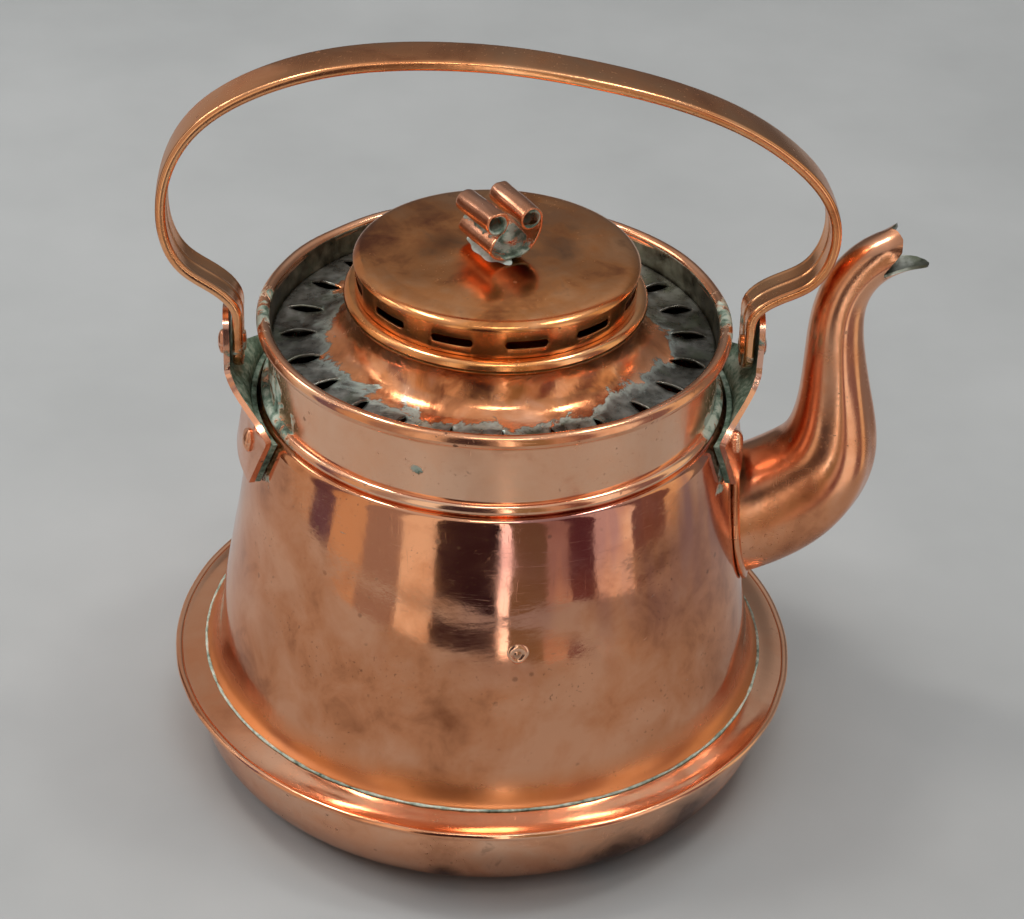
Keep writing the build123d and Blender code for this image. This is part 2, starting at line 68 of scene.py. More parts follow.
def size(node, corner, axis):
    """One coordinate of a CAD node's box in millimetres: corner 0 is the lowest, 1 the highest."""
    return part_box(node)[corner]["xyz".index(axis)] / MM


# ---- driving sizes, from the frame ----
SHEET = 1.2
THIN = 1.0
BRIM_R = size("brim_bead", 1, "x")
BRIM_WIRE_R = (size("brim_bead", 1, "z") - size("brim_bead", 0, "z")) / 2
BRIM_EDGE_Z = size("brim_bead", 1, "z") - BRIM_WIRE_R
FOOT_R = size("body_cone", 1, "x")
FOOT_Z = size("body_cone", 0, "z")
SHOULDER_Z = size("body_cone", 1, "z")
NECK_R = size("neck_collar", 1, "x")
NECK_TOP = size("neck_collar", 1, "z")
RIM_R = size("neck_rim_roll", 1, "x")
RIM_Z = (size("neck_rim_roll", 0, "z") + size("neck_rim_roll", 1, "z")) / 2
RIM_HALF_H = (size("neck_rim_roll", 1, "z") - size("neck_rim_roll", 0, "z")) / 2
BEAD_R = size("shoulder_bead", 1, "x") - NECK_R
SHELF_R = size("insert_bell", 1, "x")
SHELF_Z = size("insert_bell", 0, "z")
BELL_TOP_Z = size("insert_bell", 1, "z")
RING_Z = size("insert_ring", 0, "z")
RING_TOP = size("insert_ring", 1, "z")
RING_R = size("insert_ring", 1, "x")
DRUM_R = size("cap_drum", 1, "x")
DRUM_Z = size("cap_drum", 0, "z")
DRUM_TOP = size("cap_drum", 1, "z")
DISC_TOP = size("cap_disc", 1, "z")
EAR_LOW_Z = size("front_ear", 0, "z")
EAR_TOP_Z = size("front_ear", 1, "z")
TAB_HALF = 12.0
PIVOT_Z = EAR_TOP_Z - TAB_HALF - 4.0
EAR_OUT_R = size("front_ear", 1, "x")
EAR_PLATE = 2.4
EAR_BACKING = 2.6
BAIL_WIDTH = size("bail_strap", 1, "y") - size("bail_strap", 0, "y")
BAIL_THICK = 4.5
BAIL_FOOT_Z = size("bail_strap", 0, "z")
BAIL_FOOT_X = 104.4

CONE_SLOPE = 0.161
CONE_R = 117.45
CONE_R_Z = 40.5


def cone_r(z):
    """Outer radius of the conical body at height z."""
    return CONE_R - CONE_SLOPE * (z - CONE_R_Z)


# ---- outlines ----
def spline(points, count):
    """Natural cubic spline through the points, sampled evenly along its chords."""
    p = np.array(points, float)
    t = np.concatenate([[0], np.cumsum(np.linalg.norm(np.diff(p[:, :2], axis=0), axis=1))])
    n = len(p)
    h = np.diff(t)
    a = np.eye(n)
    b = np.zeros_like(p)
    for i in range(1, n - 1):
        a[i, i - 1:i + 2] = h[i - 1], 2 * (h[i - 1] + h[i]), h[i]
        b[i] = 6 * ((p[i + 1] - p[i]) / h[i] - (p[i] - p[i - 1]) / h[i - 1])
    m = np.linalg.solve(a, b)
    s = np.linspace(0, t[-1], count)
    k = np.clip(np.searchsorted(t, s, side="right") - 1, 0, n - 2)
    u, v, w = (s - t[k])[:, None], (t[k + 1] - s)[:, None], h[k][:, None]
    curve = (m[k] * v ** 3 + m[k + 1] * u ** 3) / (6 * w)
    return curve + (p[k] / w - m[k] * w / 6) * v + (p[k + 1] / w - m[k + 1] * w / 6) * u


def line(start, end, count):
    """Straight run of points, without its end."""
    return [tuple(np.array(start) + (np.array(end) - np.array(start)) * i / count) for i in range(count)]


def directions(points):
    """Unit tangents of a run of points."""
    d = np.gradient(np.array(points, float), axis=0)
    return d / np.linalg.norm(d, axis=1)[:, None]


def sheet_loop(middle, thick, round_start=True):
    """Closed profile of a sheet: both faces of its middle line, with rounded edges."""
    middle = np.array(middle, float)
    d = directions(middle)
    normal = np.stack([-d[:, 1], d[:, 0]], 1)
    half = thick / 2
    left, right = middle + normal * half, middle - normal * half
    turns = [radians(a) for a in (60, 30, 0, -30, -60)]
    end = [middle[-1] + half * (cos(a) * d[-1] + sin(a) * normal[-1]) for a in turns]
    start = [middle[0] - half * (cos(a) * d[0] + sin(a) * normal[0]) for a in turns] if round_start else []
    return np.array([*left, *end, *right[::-1], *start])


def ellipse_loop(centre, half_w, half_h, count=28):
    """Closed oval profile."""
    turns = np.arange(count) * 2 * pi / count
    return np.stack([centre[0] + half_w * np.cos(turns), centre[1] + half_h * np.sin(turns)], 1)


def unevenness(seed, height, turns=(2, 11), rise=(25, 110)):
    """Gentle waves of planished sheet: a seeded sum of sines round and up a piece, in mm."""
    rng = np.random.default_rng(seed)
    waves = [(rng.integers(*turns), 2 * pi / rng.uniform(*rise), rng.uniform(0, 2 * pi)) for _ in range(8)]
    return lambda angle, z: height * sum(np.sin(k * angle + m * z + p) for k, m, p in waves) / 4


# ---- meshes ----
SHARP = radians(38)


def make(name, co, faces, materials, sharp=SHARP):
    """Object from points in millimetres; materials is one, or a list chosen by each face's index."""
    mesh = bpy.data.meshes.new(name)
    mesh.from_pydata((np.asarray(co, float) * MM).tolist(), [], faces)
    for material in materials if isinstance(materials, list) else [materials]:
        mesh.materials.append(material)
    obj = bpy.data.objects.new(name, mesh)
    bpy.context.scene.collection.objects.link(obj)
    tidy_mesh(mesh, sharp)
    return obj


def tidy_mesh(mesh, sharp=SHARP):
    """Merge doubled points, turn the faces outwards and smooth all but the sharp edges."""
    bm = bmesh.new()
    bm.from_mesh(mesh)
    bmesh.ops.remove_doubles(bm, verts=bm.verts, dist=2e-6)
    bmesh.ops.recalc_face_normals(bm, faces=bm.faces)
    bm.to_mesh(mesh)
    bm.free()
    mesh.shade_smooth()
    mesh.set_sharp_from_angle(angle=sharp)


def grid_faces(rows, columns, wrap_rows, wrap_columns):
    """Quads of a grid of points, as (face, row, column)."""
    for i in range(rows if wrap_rows else rows - 1):
        for j in range(columns if wrap_columns else columns - 1):
            i2, j2 = (i + 1) % rows, (j + 1) % columns
            yield (i * columns + j, i * columns + j2, i2 * columns + j2, i2 * columns + j), i, j


def grid(name, points, materials, wrap_rows=False, wrap_columns=False, skip=None, caps=False, sharp=SHARP):
    """Object from a rows x columns x 3 array of points; skip(row, column) leaves a face out."""
    points = np.asarray(points, float)
    rows, columns = points.shape[:2]
    faces = [face for face, i, j in grid_faces(rows, columns, wrap_rows, wrap_columns)
             if not (skip and skip(i, j))]
    if caps:
        faces += [list(range(columns)), list(range((rows - 1) * columns, rows * columns))]
    return make(name, points.reshape(-1, 3), faces, materials, sharp)


def lathe(name, loop, materials, bend=None, columns=300, sharp=SHARP):
    """Closed profile of (radius, height) turned about the kettle's axis; bend makes it uneven."""
    loop = np.asarray(loop, float)
    angle = (np.arange(columns) * 2 * pi / columns)[:, None] + 0 * loop[:, 0]
    r, z = loop[:, 0] + 0 * angle, loop[:, 1] + 0 * angle
    if bend:
        r, z = bend(angle, r, z)
    points = np.stack([r * np.cos(angle), r * np.sin(angle), z], -1)
    return grid(name, points, materials, wrap_rows=True, wrap_columns=True, sharp=sharp)


def modify(obj, kind, **settings):
    """Add a modifier with its settings."""
    modifier = obj.modifiers.new(kind.title(), kind)
    for key, value in settings.items():
        setattr(modifier, key, value)
    return modifier


def thicken(obj, thick, offset=-1.0, bevel=0.35):
    """Give a surface its sheet thickness and softly rounded edges."""
    modify(obj, "SOLIDIFY", thickness=thick * MM, offset=offset, use_even_offset=True)
    modify(obj, "BEVEL", width=bevel * MM, segments=2, limit_method="ANGLE", angle_limit=radians(50),
           harden_normals=True)


def place(obj, body, slot, *nodes):
    """Ride on a CAD body and stand for its nodes; slot, the name of the finish, is not used."""
    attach(obj, body)
    if nodes:
        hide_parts(*nodes)
    return obj


# ---- materials ----
class Nodes:
    """Short names for the shader nodes of one material, in object space."""

    def __init__(self, name):
        self.material = bpy.data.materials.new(name)
        self.material.use_nodes = True
        self.tree = self.material.node_tree
        self.shader = self.tree.nodes["Principled BSDF"]
        self.space = self.tree.nodes.new("ShaderNodeTexCoord").outputs["Object"]

    def add(self, kind, *values, **settings):
        """A node whose inputs are set or linked in order; None leaves one as it is."""
        node = self.tree.nodes.new("ShaderNode" + kind)
        for key, value in settings.items():
            setattr(node, key, value)
        for socket, value in zip([s for s in node.inputs if s.enabled], values):
            self.feed(socket, value)
        return node

    def feed(self, socket, value):
        if isinstance(value, bpy.types.NodeSocket):
            self.tree.links.new(value, socket)
        elif value is not None:
            socket.default_value = value

    def stretched(self, stretch, turn=(0, 0, 0)):
        return self.add("Mapping", self.space, (0, 0, 0), turn, stretch).outputs[0]

    def noise(self, scale, detail=4.0, rough=0.55, bend=0.0, stretch=None, turn=(0, 0, 0)):
        where = self.stretched(stretch, turn) if stretch else self.space
        node = self.add("TexNoise")
        for key, value in (("Vector", where), ("Scale", scale), ("Detail", detail), ("Roughness", rough),
                           ("Distortion", bend)):
            self.feed(node.inputs[key], value)
        return node.outputs["Fac"]

    def cells(self, scale):
        node = self.add("TexVoronoi")
        self.feed(node.inputs["Vector"], self.space)
        self.feed(node.inputs["Scale"], scale)
        return node.outputs["Distance"]

    def math(self, operation, a, b=None, clamp=False):
        return self.add("Math", a, b, operation=operation, use_clamp=clamp).outputs[0]

    def times(self, a, b):
        return self.math("MULTIPLY", a, b)

    def plus(self, a, b, clamp=False):
        return self.math("ADD", a, b, clamp)

    def span(self, value, low, high, to_low=0.0, to_high=1.0):
        """Map a value from low..high to to_low..to_high, clamped."""
        return self.add("MapRange", value, low, high, to_low, to_high).outputs[0]

    def ramp(self, value, *stops):
        node = self.add("ValToRGB", value)
        elements = node.color_ramp.elements
        while len(elements) < len(stops):
            elements.new(0.5)
        for element, (position, colour) in zip(elements, stops):
            element.position = position
            element.color = (*colour, 1)
        return node.outputs[0]

    def mix(self, factor, a, b):
        node = self.add("Mix", data_type="RGBA")
        for key, value in (("Factor", factor), ("A", a), ("B", b)):
            socket = [s for s in node.inputs if s.name == key and s.enabled][0]
            self.feed(socket, (*value, 1) if isinstance(value, tuple) else value)
        return [s for s in node.outputs if s.enabled][0]

    def height(self):
        return self.add("SeparateXYZ", self.space).outputs["Z"]

    def radius(self):
        flat = self.add("VectorMath", self.space, (1, 1, 0), operation="MULTIPLY").outputs[0]
        return self.add("VectorMath", flat, operation="LENGTH").outputs["Value"]

    def near(self, centre, reach):
        """1 at a point given in millimetres, falling to 0 at the reach."""
        point = tuple(c * MM for c in centre)
        away = self.add("VectorMath", self.space, point, operation="DISTANCE").outputs["Value"]
        return self.span(away, 0, reach * MM, 1, 0)

    def inside_oval(self, direction, along, z, half_long, half_high):
        """About 1 inside an upright oval seen along a tunnel, falling to 0 just outside it."""
        across = self.add("VectorMath", self.space, direction, operation="DOT_PRODUCT").outputs["Value"]
        u = self.span(across, (along - half_long) * MM, (along + half_long) * MM, -1, 1)
        v = self.span(self.height(), (z - half_high) * MM, (z + half_high) * MM, -1, 1)
        away = self.math("SQRT", self.plus(self.times(u, u), self.times(v, v)))
        return self.span(away, 0.90, 1.0, 1, 0)

    def finish(self, colour, metallic, rough, bump, depth):
        self.feed(self.shader.inputs["Base Color"], colour)
        self.feed(self.shader.inputs["Metallic"], metallic)
        self.feed(self.shader.inputs["Roughness"], rough)
        node = self.add("Bump")
        node.inputs["Strength"].default_value = 1.0
        node.inputs["Distance"].default_value = depth * MM
        self.feed(node.inputs["Height"], bump)
        self.feed(self.shader.inputs["Normal"], node.outputs[0])
        return self.material


PALE, MID, DARK = (0.95, 0.56, 0.37), (0.88, 0.42, 0.24), (0.40, 0.15, 0.075)
REFLECTION_PURPLE = (0.36, 0.17, 0.17)
UMBER = (0.13, 0.05, 0.025)
VERDIGRIS, PALE_GREEN, DEEP_GREEN = (0.20, 0.29, 0.22), (0.52, 0.58, 0.48), (0.04, 0.07, 0.045)


def copper(name, tones=(DARK, MID, PALE), stops=(0.27, 0.44, 0.60), rough=(0.12, 0.27), grime=0.5,
           painted_reflection_zone=None, foot_glow_and_dulling=None, dark_spots=(), spot_depth=0.62,
           green=(), green_level=0.5, green_ovals=()):
    """Worn copper: cloudy tarnish, specks, hairline scratches and, where named, verdigris.

    In millimetres, streaks is the (low z, high z) of a zone painted with reflections: upright purple-brown
    stripes of the surroundings. foot_glow_and_dulling is the (high z, low z) of one that grows duller
    downwards and redder with a painted orange reflection of the brim. green and dark_spots are lists of
    (centre, reach);
    spot_depth is how dark the spots get. green_ovals are tunnels with corroded walls:
    (direction, centre along it, centre z, half sizes)."""
    n = Nodes(name)
    clouds = n.noise(13, 5, 0.55, 0.8)
    blotches = n.noise(52, 5, 0.6, 0.4)
    tone = n.plus(n.times(clouds, 0.62), n.times(blotches, 0.38))
    colour = n.ramp(tone, *zip(stops, tones))
    # Painted reflection: upright purple-brown stripes of the surroundings, mixed into the colour between two
    # heights.
    if painted_reflection_zone:
        upright = n.noise(30, 3, 0.5, 0.15, stretch=(1, 1, 0.10))
        zone = n.span(n.height(), painted_reflection_zone[0] * MM, painted_reflection_zone[1] * MM)
        reflection_streak = n.times(n.span(upright, 0.52, 0.62), zone)
        colour = n.mix(n.times(reflection_streak, 0.75), colour, REFLECTION_PURPLE)
    # Painted reflection: towards the foot the colour is mixed into saturated orange, the brim's glow
    # reflected in the flare; the same band also grows rougher.
    if foot_glow_and_dulling:
        low = n.span(n.height(), foot_glow_and_dulling[0] * MM, foot_glow_and_dulling[1] * MM)
        colour = n.mix(n.times(low, 0.8), colour, (0.80, 0.27, 0.09))
    for centre, reach in dark_spots:
        edge = n.plus(n.near(centre, reach), n.span(blotches, 0.3, 0.7, -0.35, 0.35))
        colour = n.mix(n.span(edge, 0.25, 0.95, 0, spot_depth), colour, UMBER)
    specks = n.span(n.noise(620, 2, 0.5), 0.66, 0.72)
    patches = n.span(n.noise(34, 3), 0.48, 0.62)
    dirt = n.times(n.times(specks, patches), grime)
    pits = n.times(n.span(n.cells(95), 0.13, 0.07), n.span(n.noise(60, 2), 0.54, 0.60))
    dirt = n.math("MAXIMUM", dirt, n.times(pits, grime))
    colour = n.mix(dirt, colour, UMBER)
    hair = n.noise(60, 4, 0.65, 1.2, stretch=(1.0, 1.6, 22.0), turn=(0.9, 0.4, 0.3))
    cross_hair = n.noise(55, 4, 0.65, 1.2, stretch=(20.0, 1.0, 1.5), turn=(0.3, 0.8, 1.1))
    scratches = n.plus(n.span(hair, 0.64, 0.74), n.span(cross_hair, 0.64, 0.74), clamp=True)
    roughness = n.plus(n.span(blotches, 0.35, 0.68, rough[1], rough[0]),
                       n.times(scratches, 0.06))
    roughness = n.plus(roughness, n.times(dirt, 0.25))
    if foot_glow_and_dulling:
        roughness = n.plus(roughness, n.times(low, 0.24))
    metallic = n.math("SUBTRACT", 1.0, n.times(dirt, 0.5))
    surface = n.plus(n.times(n.noise(300, 3), 0.05), n.times(clouds, 0.6))
    surface = n.math("SUBTRACT", surface, n.times(n.plus(scratches, dirt), 0.015))
    if green or green_ovals:
        reach_of = 0.0
        for centre, reach in green:
            reach_of = n.math("MAXIMUM", reach_of, n.near(centre, reach))
        for oval in green_ovals:
            reach_of = n.math("MAXIMUM", reach_of, n.inside_oval(*oval))
        crust = n.plus(reach_of, n.span(n.noise(110, 6, 0.65, 0.6), 0.25, 0.75, -0.6, 0.6))
        mask = n.span(crust, green_level, green_level + 0.16)
        patina = n.ramp(n.noise(170, 5, 0.6), (0.34, DEEP_GREEN), (0.46, VERDIGRIS), (0.56, PALE_GREEN))
        colour = n.mix(mask, colour, patina)
        metallic = n.times(metallic, n.math("SUBTRACT", 1.0, mask))
        roughness = n.plus(roughness, n.times(mask, 0.5), clamp=True)
        surface = n.plus(surface, n.times(mask, n.noise(500, 3)))
    return n.finish(colour, metallic, roughness, surface, 0.35)


def tinned(name, tones=((0.055, 0.05, 0.038), (0.16, 0.155, 0.13), (0.34, 0.35, 0.31)), rough=(0.25, 0.5),
           copper_inside=None):
    """Old tinning, grey and blotched; inside the radius copper_inside (mm) it has worn to copper."""
    n = Nodes(name)
    clouds = n.noise(30, 6, 0.6, 0.7)
    fine = n.noise(160, 5, 0.6)
    tone = n.plus(n.times(clouds, 0.6), n.times(fine, 0.4))
    colour = n.ramp(tone, (0.36, tones[0]), (0.48, tones[1]), (0.62, tones[2]))
    tarnish = n.span(n.noise(75, 4, 0.6, 0.5), 0.52, 0.66, 0, 0.7)
    colour = n.mix(tarnish, colour, (0.10, 0.12, 0.075))
    roughness = n.span(fine, 0.3, 0.7, rough[0], rough[1])
    if copper_inside:
        wander = n.span(n.noise(42, 6, 0.62, 0.5), 0.25, 0.75, -11 * MM, 11 * MM)
        edge = n.plus(n.radius(), wander)
        inside = n.span(edge, (copper_inside + 0.6) * MM, (copper_inside - 0.6) * MM)
        rind = n.times(n.span(edge, copper_inside * MM, (copper_inside + 1.2) * MM),
                      n.span(edge, (copper_inside + 5) * MM, (copper_inside + 1.5) * MM))
        colour = n.mix(n.times(rind, 0.75), colour, (0.50, 0.56, 0.50))
        red = n.ramp(n.noise(40, 4, 0.6, 0.5), (0.32, (0.34, 0.10, 0.04)), (0.48, (0.78, 0.31, 0.13)),
                     (0.64, (0.90, 0.46, 0.27)))
        colour = n.mix(inside, colour, red)
        roughness = n.math("SUBTRACT", roughness, n.times(inside, 0.13))
    surface = n.plus(n.times(fine, 0.3), clouds)
    return n.finish(colour, 0.85, roughness, surface, 0.30)


def crust(name, tones=(DEEP_GREEN, VERDIGRIS, PALE_GREEN), stops=(0.34, 0.48, 0.60)):
    """Dull powdery corrosion or old solder."""
    n = Nodes(name)
    tone = n.plus(n.times(n.noise(70, 5, 0.6, 0.6), 0.55),
                  n.times(n.noise(420, 4, 0.6), 0.45))
    colour = n.ramp(tone, *zip(stops, tones))
    roughness = n.span(tone, 0.35, 0.65, 0.8, 0.5)
    return n.finish(colour, 0.15, roughness, n.noise(600, 4, 0.6), 0.35)


def both_sides(x, y, z, reach):
    """A stain near each ear, as (centre, reach) in millimetres."""
    return [((side * x, y, z), reach) for side in (-1, 1)]


SHOULDER_GREEN = both_sides(93, -22, 172, 42) + both_sides(93, 22, 172, 42)
NECK_SPOT_TURN = radians(-111)
NECK_SPOT = ((NECK_R * cos(NECK_SPOT_TURN), NECK_R * sin(NECK_SPOT_TURN), 185), 5)

# The body's colour carries painted reflections: purple-brown stripes from 92 to 150 mm and the brim's orange
# glow at the foot.
BODY_COPPER = copper("body_copper", tones=((0.36, 0.125, 0.055), (0.71, 0.29, 0.14), (0.83, 0.40, 0.23)),
                     stops=(0.35, 0.46, 0.57), rough=(0.05, 0.14), grime=0.45,
                     painted_reflection_zone=(92, 150), foot_glow_and_dulling=(58, 47),
                     green=both_sides(97, -38, 152, 14))
PAN_COPPER = copper("pan_copper", tones=((0.48, 0.19, 0.09), (0.90, 0.44, 0.25), (0.95, 0.57, 0.38)),
                    grime=0.7, spot_depth=0.95,
                    dark_spots=[((50, -112, 12), 30), ((76, -96, 14), 36), ((-20, -122, 8), 12)])
BRIM_COPPER = copper("brim_copper", tones=((0.42, 0.15, 0.07), (0.86, 0.38, 0.20), (0.92, 0.50, 0.31)),
                     stops=(0.25, 0.42, 0.60), rough=(0.10, 0.2), grime=0.6)
NECK_COPPER = copper("neck_copper", tones=((0.55, 0.24, 0.14), (0.92, 0.50, 0.31), PALE), grime=0.55,
                     green=[NECK_SPOT] + SHOULDER_GREEN, green_level=0.62)
BEAD_COPPER = copper("bead_copper", grime=0.8, rough=(0.10, 0.2), green=SHOULDER_GREEN, green_level=0.42)
RIM_COPPER = copper("rim_copper", tones=((0.30, 0.11, 0.05), (0.84, 0.38, 0.20), (0.92, 0.52, 0.33)),
                    grime=1.0, rough=(0.12, 0.24), green=both_sides(97, 0, 200, 40), green_level=0.64)
CAP_COPPER = copper("cap_copper", tones=((0.36, 0.11, 0.04), (0.84, 0.33, 0.11), (0.92, 0.45, 0.21)),
                    stops=(0.38, 0.47, 0.58), rough=(0.13, 0.24), grime=0.5,
                    dark_spots=[((4, -20, DISC_TOP), 24), ((24, 6, DISC_TOP), 22), ((-22, 4, DISC_TOP), 16)])
DRUM_COPPER = copper("drum_copper", tones=((0.38, 0.13, 0.045), (0.92, 0.38, 0.13), (0.95, 0.50, 0.25)),
                     rough=(0.14, 0.26), grime=0.8)
HANDLE_COPPER = copper("handle_copper", tones=((0.34, 0.11, 0.04), (0.86, 0.36, 0.15), (0.94, 0.48, 0.24)),
                       stops=(0.30, 0.45, 0.60), rough=(0.14, 0.28), grime=0.8,
                       green=both_sides(105, 0, 188, 26), green_level=0.72)
SPOUT_COPPER = copper("spout_copper", tones=((0.34, 0.11, 0.05), (0.80, 0.34, 0.17), (0.90, 0.46, 0.28)),
                      stops=(0.30, 0.45, 0.61), rough=(0.17, 0.28), grime=0.5,
                      dark_spots=[((104, -24, 130), 16)])
EAR_COPPER = copper("ear_copper", tones=(DARK, (0.82, 0.38, 0.22), (0.92, 0.52, 0.38)), grime=0.8,
                    green=both_sides(100, 0, 186, 34), green_level=0.62)
EAR_INSIDE = crust("ear_verdigris", tones=((0.03, 0.045, 0.03), (0.16, 0.26, 0.19), (0.46, 0.55, 0.45)))
KNOB_TURN = radians(-62)
KNOB_ACROSS = (-sin(KNOB_TURN), cos(KNOB_TURN), 0)
KNOB_Z = size("knob_scroll", 0, "z")
SCROLL_X, SCROLL_Z, SCROLL_R = 7.4, 16.2, 4.8
SCROLL_BORE = SCROLL_R - 0.4
KNOB_OVALS = [(KNOB_ACROSS, 0, KNOB_Z + 6.4, 10.2, 7.2)]
KNOB_OVALS += [(KNOB_ACROSS, side * SCROLL_X, KNOB_Z + SCROLL_Z, SCROLL_BORE, SCROLL_BORE)
               for side in (-1, 1)]
KNOB_COPPER = copper("knob_copper", tones=((0.22, 0.07, 0.05), (0.76, 0.32, 0.16), (0.88, 0.46, 0.30)),
                     grime=0.9, green_ovals=KNOB_OVALS, green_level=0.75)
SOLDER = crust("pale_solder", tones=((0.36, 0.45, 0.38), (0.60, 0.69, 0.62), (0.78, 0.82, 0.77)))
FOOT_SOLDER = crust("foot_solder_green", tones=((0.06, 0.10, 0.07), (0.36, 0.46, 0.38), (0.62, 0.68, 0.58)))
NECK_TIN = tinned("neck_tin", tones=((0.035, 0.03, 0.018), (0.10, 0.09, 0.06), (0.26, 0.26, 0.20)))
SHELF_TIN = tinned("shelf_tin", tones=((0.04, 0.037, 0.028), (0.15, 0.145, 0.125), (0.33, 0.33, 0.30)),
                   rough=(0.2, 0.42), copper_inside=70)
SPOUT_TIN = tinned("spout_tin", tones=((0.04, 0.04, 0.03), (0.20, 0.21, 0.17), (0.62, 0.64, 0.58)))
RIVET_COPPER = copper("rivet_copper", grime=0.9, rough=(0.16, 0.3),
                      green=both_sides(100, 0, 160, 46), green_level=0.78)
HIDDEN_COPPER = copper("hidden_copper", tones=((0.12, 0.05, 0.03), (0.34, 0.16, 0.09), (0.5, 0.27, 0.17)),
                       grime=1.0, rough=(0.3, 0.5))


# ---- pan, brim and foot ----
def make_pan():
    """Flat-bottomed pan with an uneven rounded wall."""
    wall = spline([(107, SHEET / 2), (118.0, 5.0), (124.8, 17.1), (129.4, 39.0)], 48)
    middle = [*line((0, SHEET / 2), (107, SHEET / 2), 12), *wall]
    waves = unevenness(3, 0.45, rise=(60, 140))
    flat = 4.0

    def bend(angle, r, z):
        return r + waves(angle, z) * np.clip((z - flat) / 12, 0, 1), z

    place(lathe("pan", sheet_loop(middle, SHEET, round_start=False), PAN_COPPER, bend),
          "vessel", "copper", "base_pan")


def make_brim():
    """Ring plate and its wired edge, which sag together."""
    wire_r = BRIM_R - BRIM_WIRE_R
    middle = spline([(112, FOOT_Z - SHEET / 2), (FOOT_R + 1.5, FOOT_Z - SHEET / 2 - 0.2),
                     (128.5, BRIM_EDGE_Z + 0.55), (wire_r, BRIM_EDGE_Z + 0.2)], 30)
    waves = unevenness(5, 0.22, rise=(200, 300))

    def bend(angle, r, z):
        return r, z + waves(angle, z) * np.clip((r - FOOT_R) / 10, 0, 1)

    place(lathe("brim", sheet_loop(middle, SHEET), BRIM_COPPER, bend), "vessel", "copper", "brim_plate")
    edge = ellipse_loop((wire_r - 0.3, BRIM_EDGE_Z), BRIM_WIRE_R, BRIM_WIRE_R * 0.95)
    small = unevenness(6, 0.10, turns=(9, 40), rise=(200, 300))

    def bend_edge(angle, r, z):
        return r + small(angle, z), z + waves(angle, z)

    place(lathe("brim_wired_edge", edge, BRIM_COPPER, bend_edge), "vessel", "copper", "brim_bead")


def make_foot_solder():
    """Thin lumpy line of solder round the body's foot."""
    loop = ellipse_loop((FOOT_R + 0.5, FOOT_Z + 0.35), 0.62, 0.5, 12)
    waves = unevenness(8, 0.30, turns=(7, 90), rise=(200, 300))

    def bend(angle, r, z):
        grow = 1 + 0.9 * waves(angle, z * 0)
        shift = 0.35 * waves(angle + 1, z * 0)
        return FOOT_R + 0.5 + (r - FOOT_R - 0.5) * grow + shift, FOOT_Z + 0.35 + (z - FOOT_Z - 0.35) * grow

    place(lathe("foot_solder_line", loop, FOOT_SOLDER, bend, columns=720), "vessel", "tin_solder",
          "foot_solder")


# ---- body ----
def make_body():
    """Flared foot, planished cone and rounded shoulder as one sheet."""
    top = SHOULDER_Z - SHEET / 2
    half = SHEET / 2
    flare = spline([(FOOT_R - 0.4, FOOT_Z + 0.3), (FOOT_R - 2.6, FOOT_Z + 2.2),
                    (cone_r(50) - half + 0.25, 50), (cone_r(58) - half, 58)], 26)
    side = line((cone_r(58.8) - half, 58.8), (cone_r(top - 3.2) - half, top - 3.2), 90)
    corner = spline([(cone_r(top - 3.2) - half, top - 3.2), (cone_r(top) - 1.6, top - 0.85),
                     (cone_r(top) - 4.0, top)], 12)
    ledge = line((cone_r(top) - 4.6, top), (86.0, top), 8)
    waves = unevenness(11, 0.26)
    fine = unevenness(12, 0.05, turns=(9, 24), rise=(20, 50))

    def bend(angle, r, z):
        above_foot = np.clip((z - 48) / 14, 0, 1)
        below_shoulder = np.clip((top - z) / 45, 0, 1)
        return r + ((waves(angle, z) + fine(angle, z)) * below_shoulder - 0.25) * above_foot, z

    loop = sheet_loop([*flare, *side, *corner, *ledge], SHEET)
    place(lathe("body", loop, BODY_COPPER, bend, columns=420), "vessel", "copper", "body_cone")


def make_neck():
    """Neck band, tinned inside, with the shoulder's roll and the dented wired rim."""
    middle = [(NECK_R - SHEET / 2 + bow, z) for z in np.linspace(SHOULDER_Z, NECK_TOP, 40)
              for bow in [-0.35 * sin(pi * (z - SHOULDER_Z) / (NECK_TOP - SHOULDER_Z))]]
    waves = unevenness(21, 0.16, rise=(40, 90))
    neck = lathe("neck", sheet_loop(middle, SHEET), [NECK_COPPER, NECK_TIN],
                 lambda angle, r, z: (r + waves(angle, z) - 0.1, z))
    for face in neck.data.polygons:
        inward = face.normal.x * face.center.x + face.normal.y * face.center.y < 0
        face.material_index = 1 if inward else 0
    place(neck, "vessel", "copper", "neck_collar")

    bead = ellipse_loop((NECK_R - 0.3, SHOULDER_Z + BEAD_R), BEAD_R + 0.3, BEAD_R)
    small = unevenness(22, 0.12, turns=(5, 26), rise=(60, 90))
    place(lathe("shoulder_roll", bead, BEAD_COPPER, lambda angle, r, z: (r, z + small(angle, z))),
          "vessel", "copper", "shoulder_bead")

    half_w = (RIM_R - NECK_R + SHEET) / 2
    turns = np.arange(48) * 2 * pi / 48
    lip = 1 - 0.16 * np.exp(-((turns - radians(318)) / radians(7)) ** 2)
    roll = np.stack([RIM_R - half_w + half_w * np.cos(turns) * lip,
                     RIM_Z + RIM_HALF_H * np.sin(turns) * lip], 1)
    sag = unevenness(23, 0.22, turns=(3, 18), rise=(150, 300))

    def bend(angle, r, z):
        return r - 0.1 + 0.4 * sag(angle, z), z + sag(angle, z) - 0.2

    place(lathe("neck_rim", roll, RIM_COPPER, bend), "vessel", "copper", "neck_rim_roll")


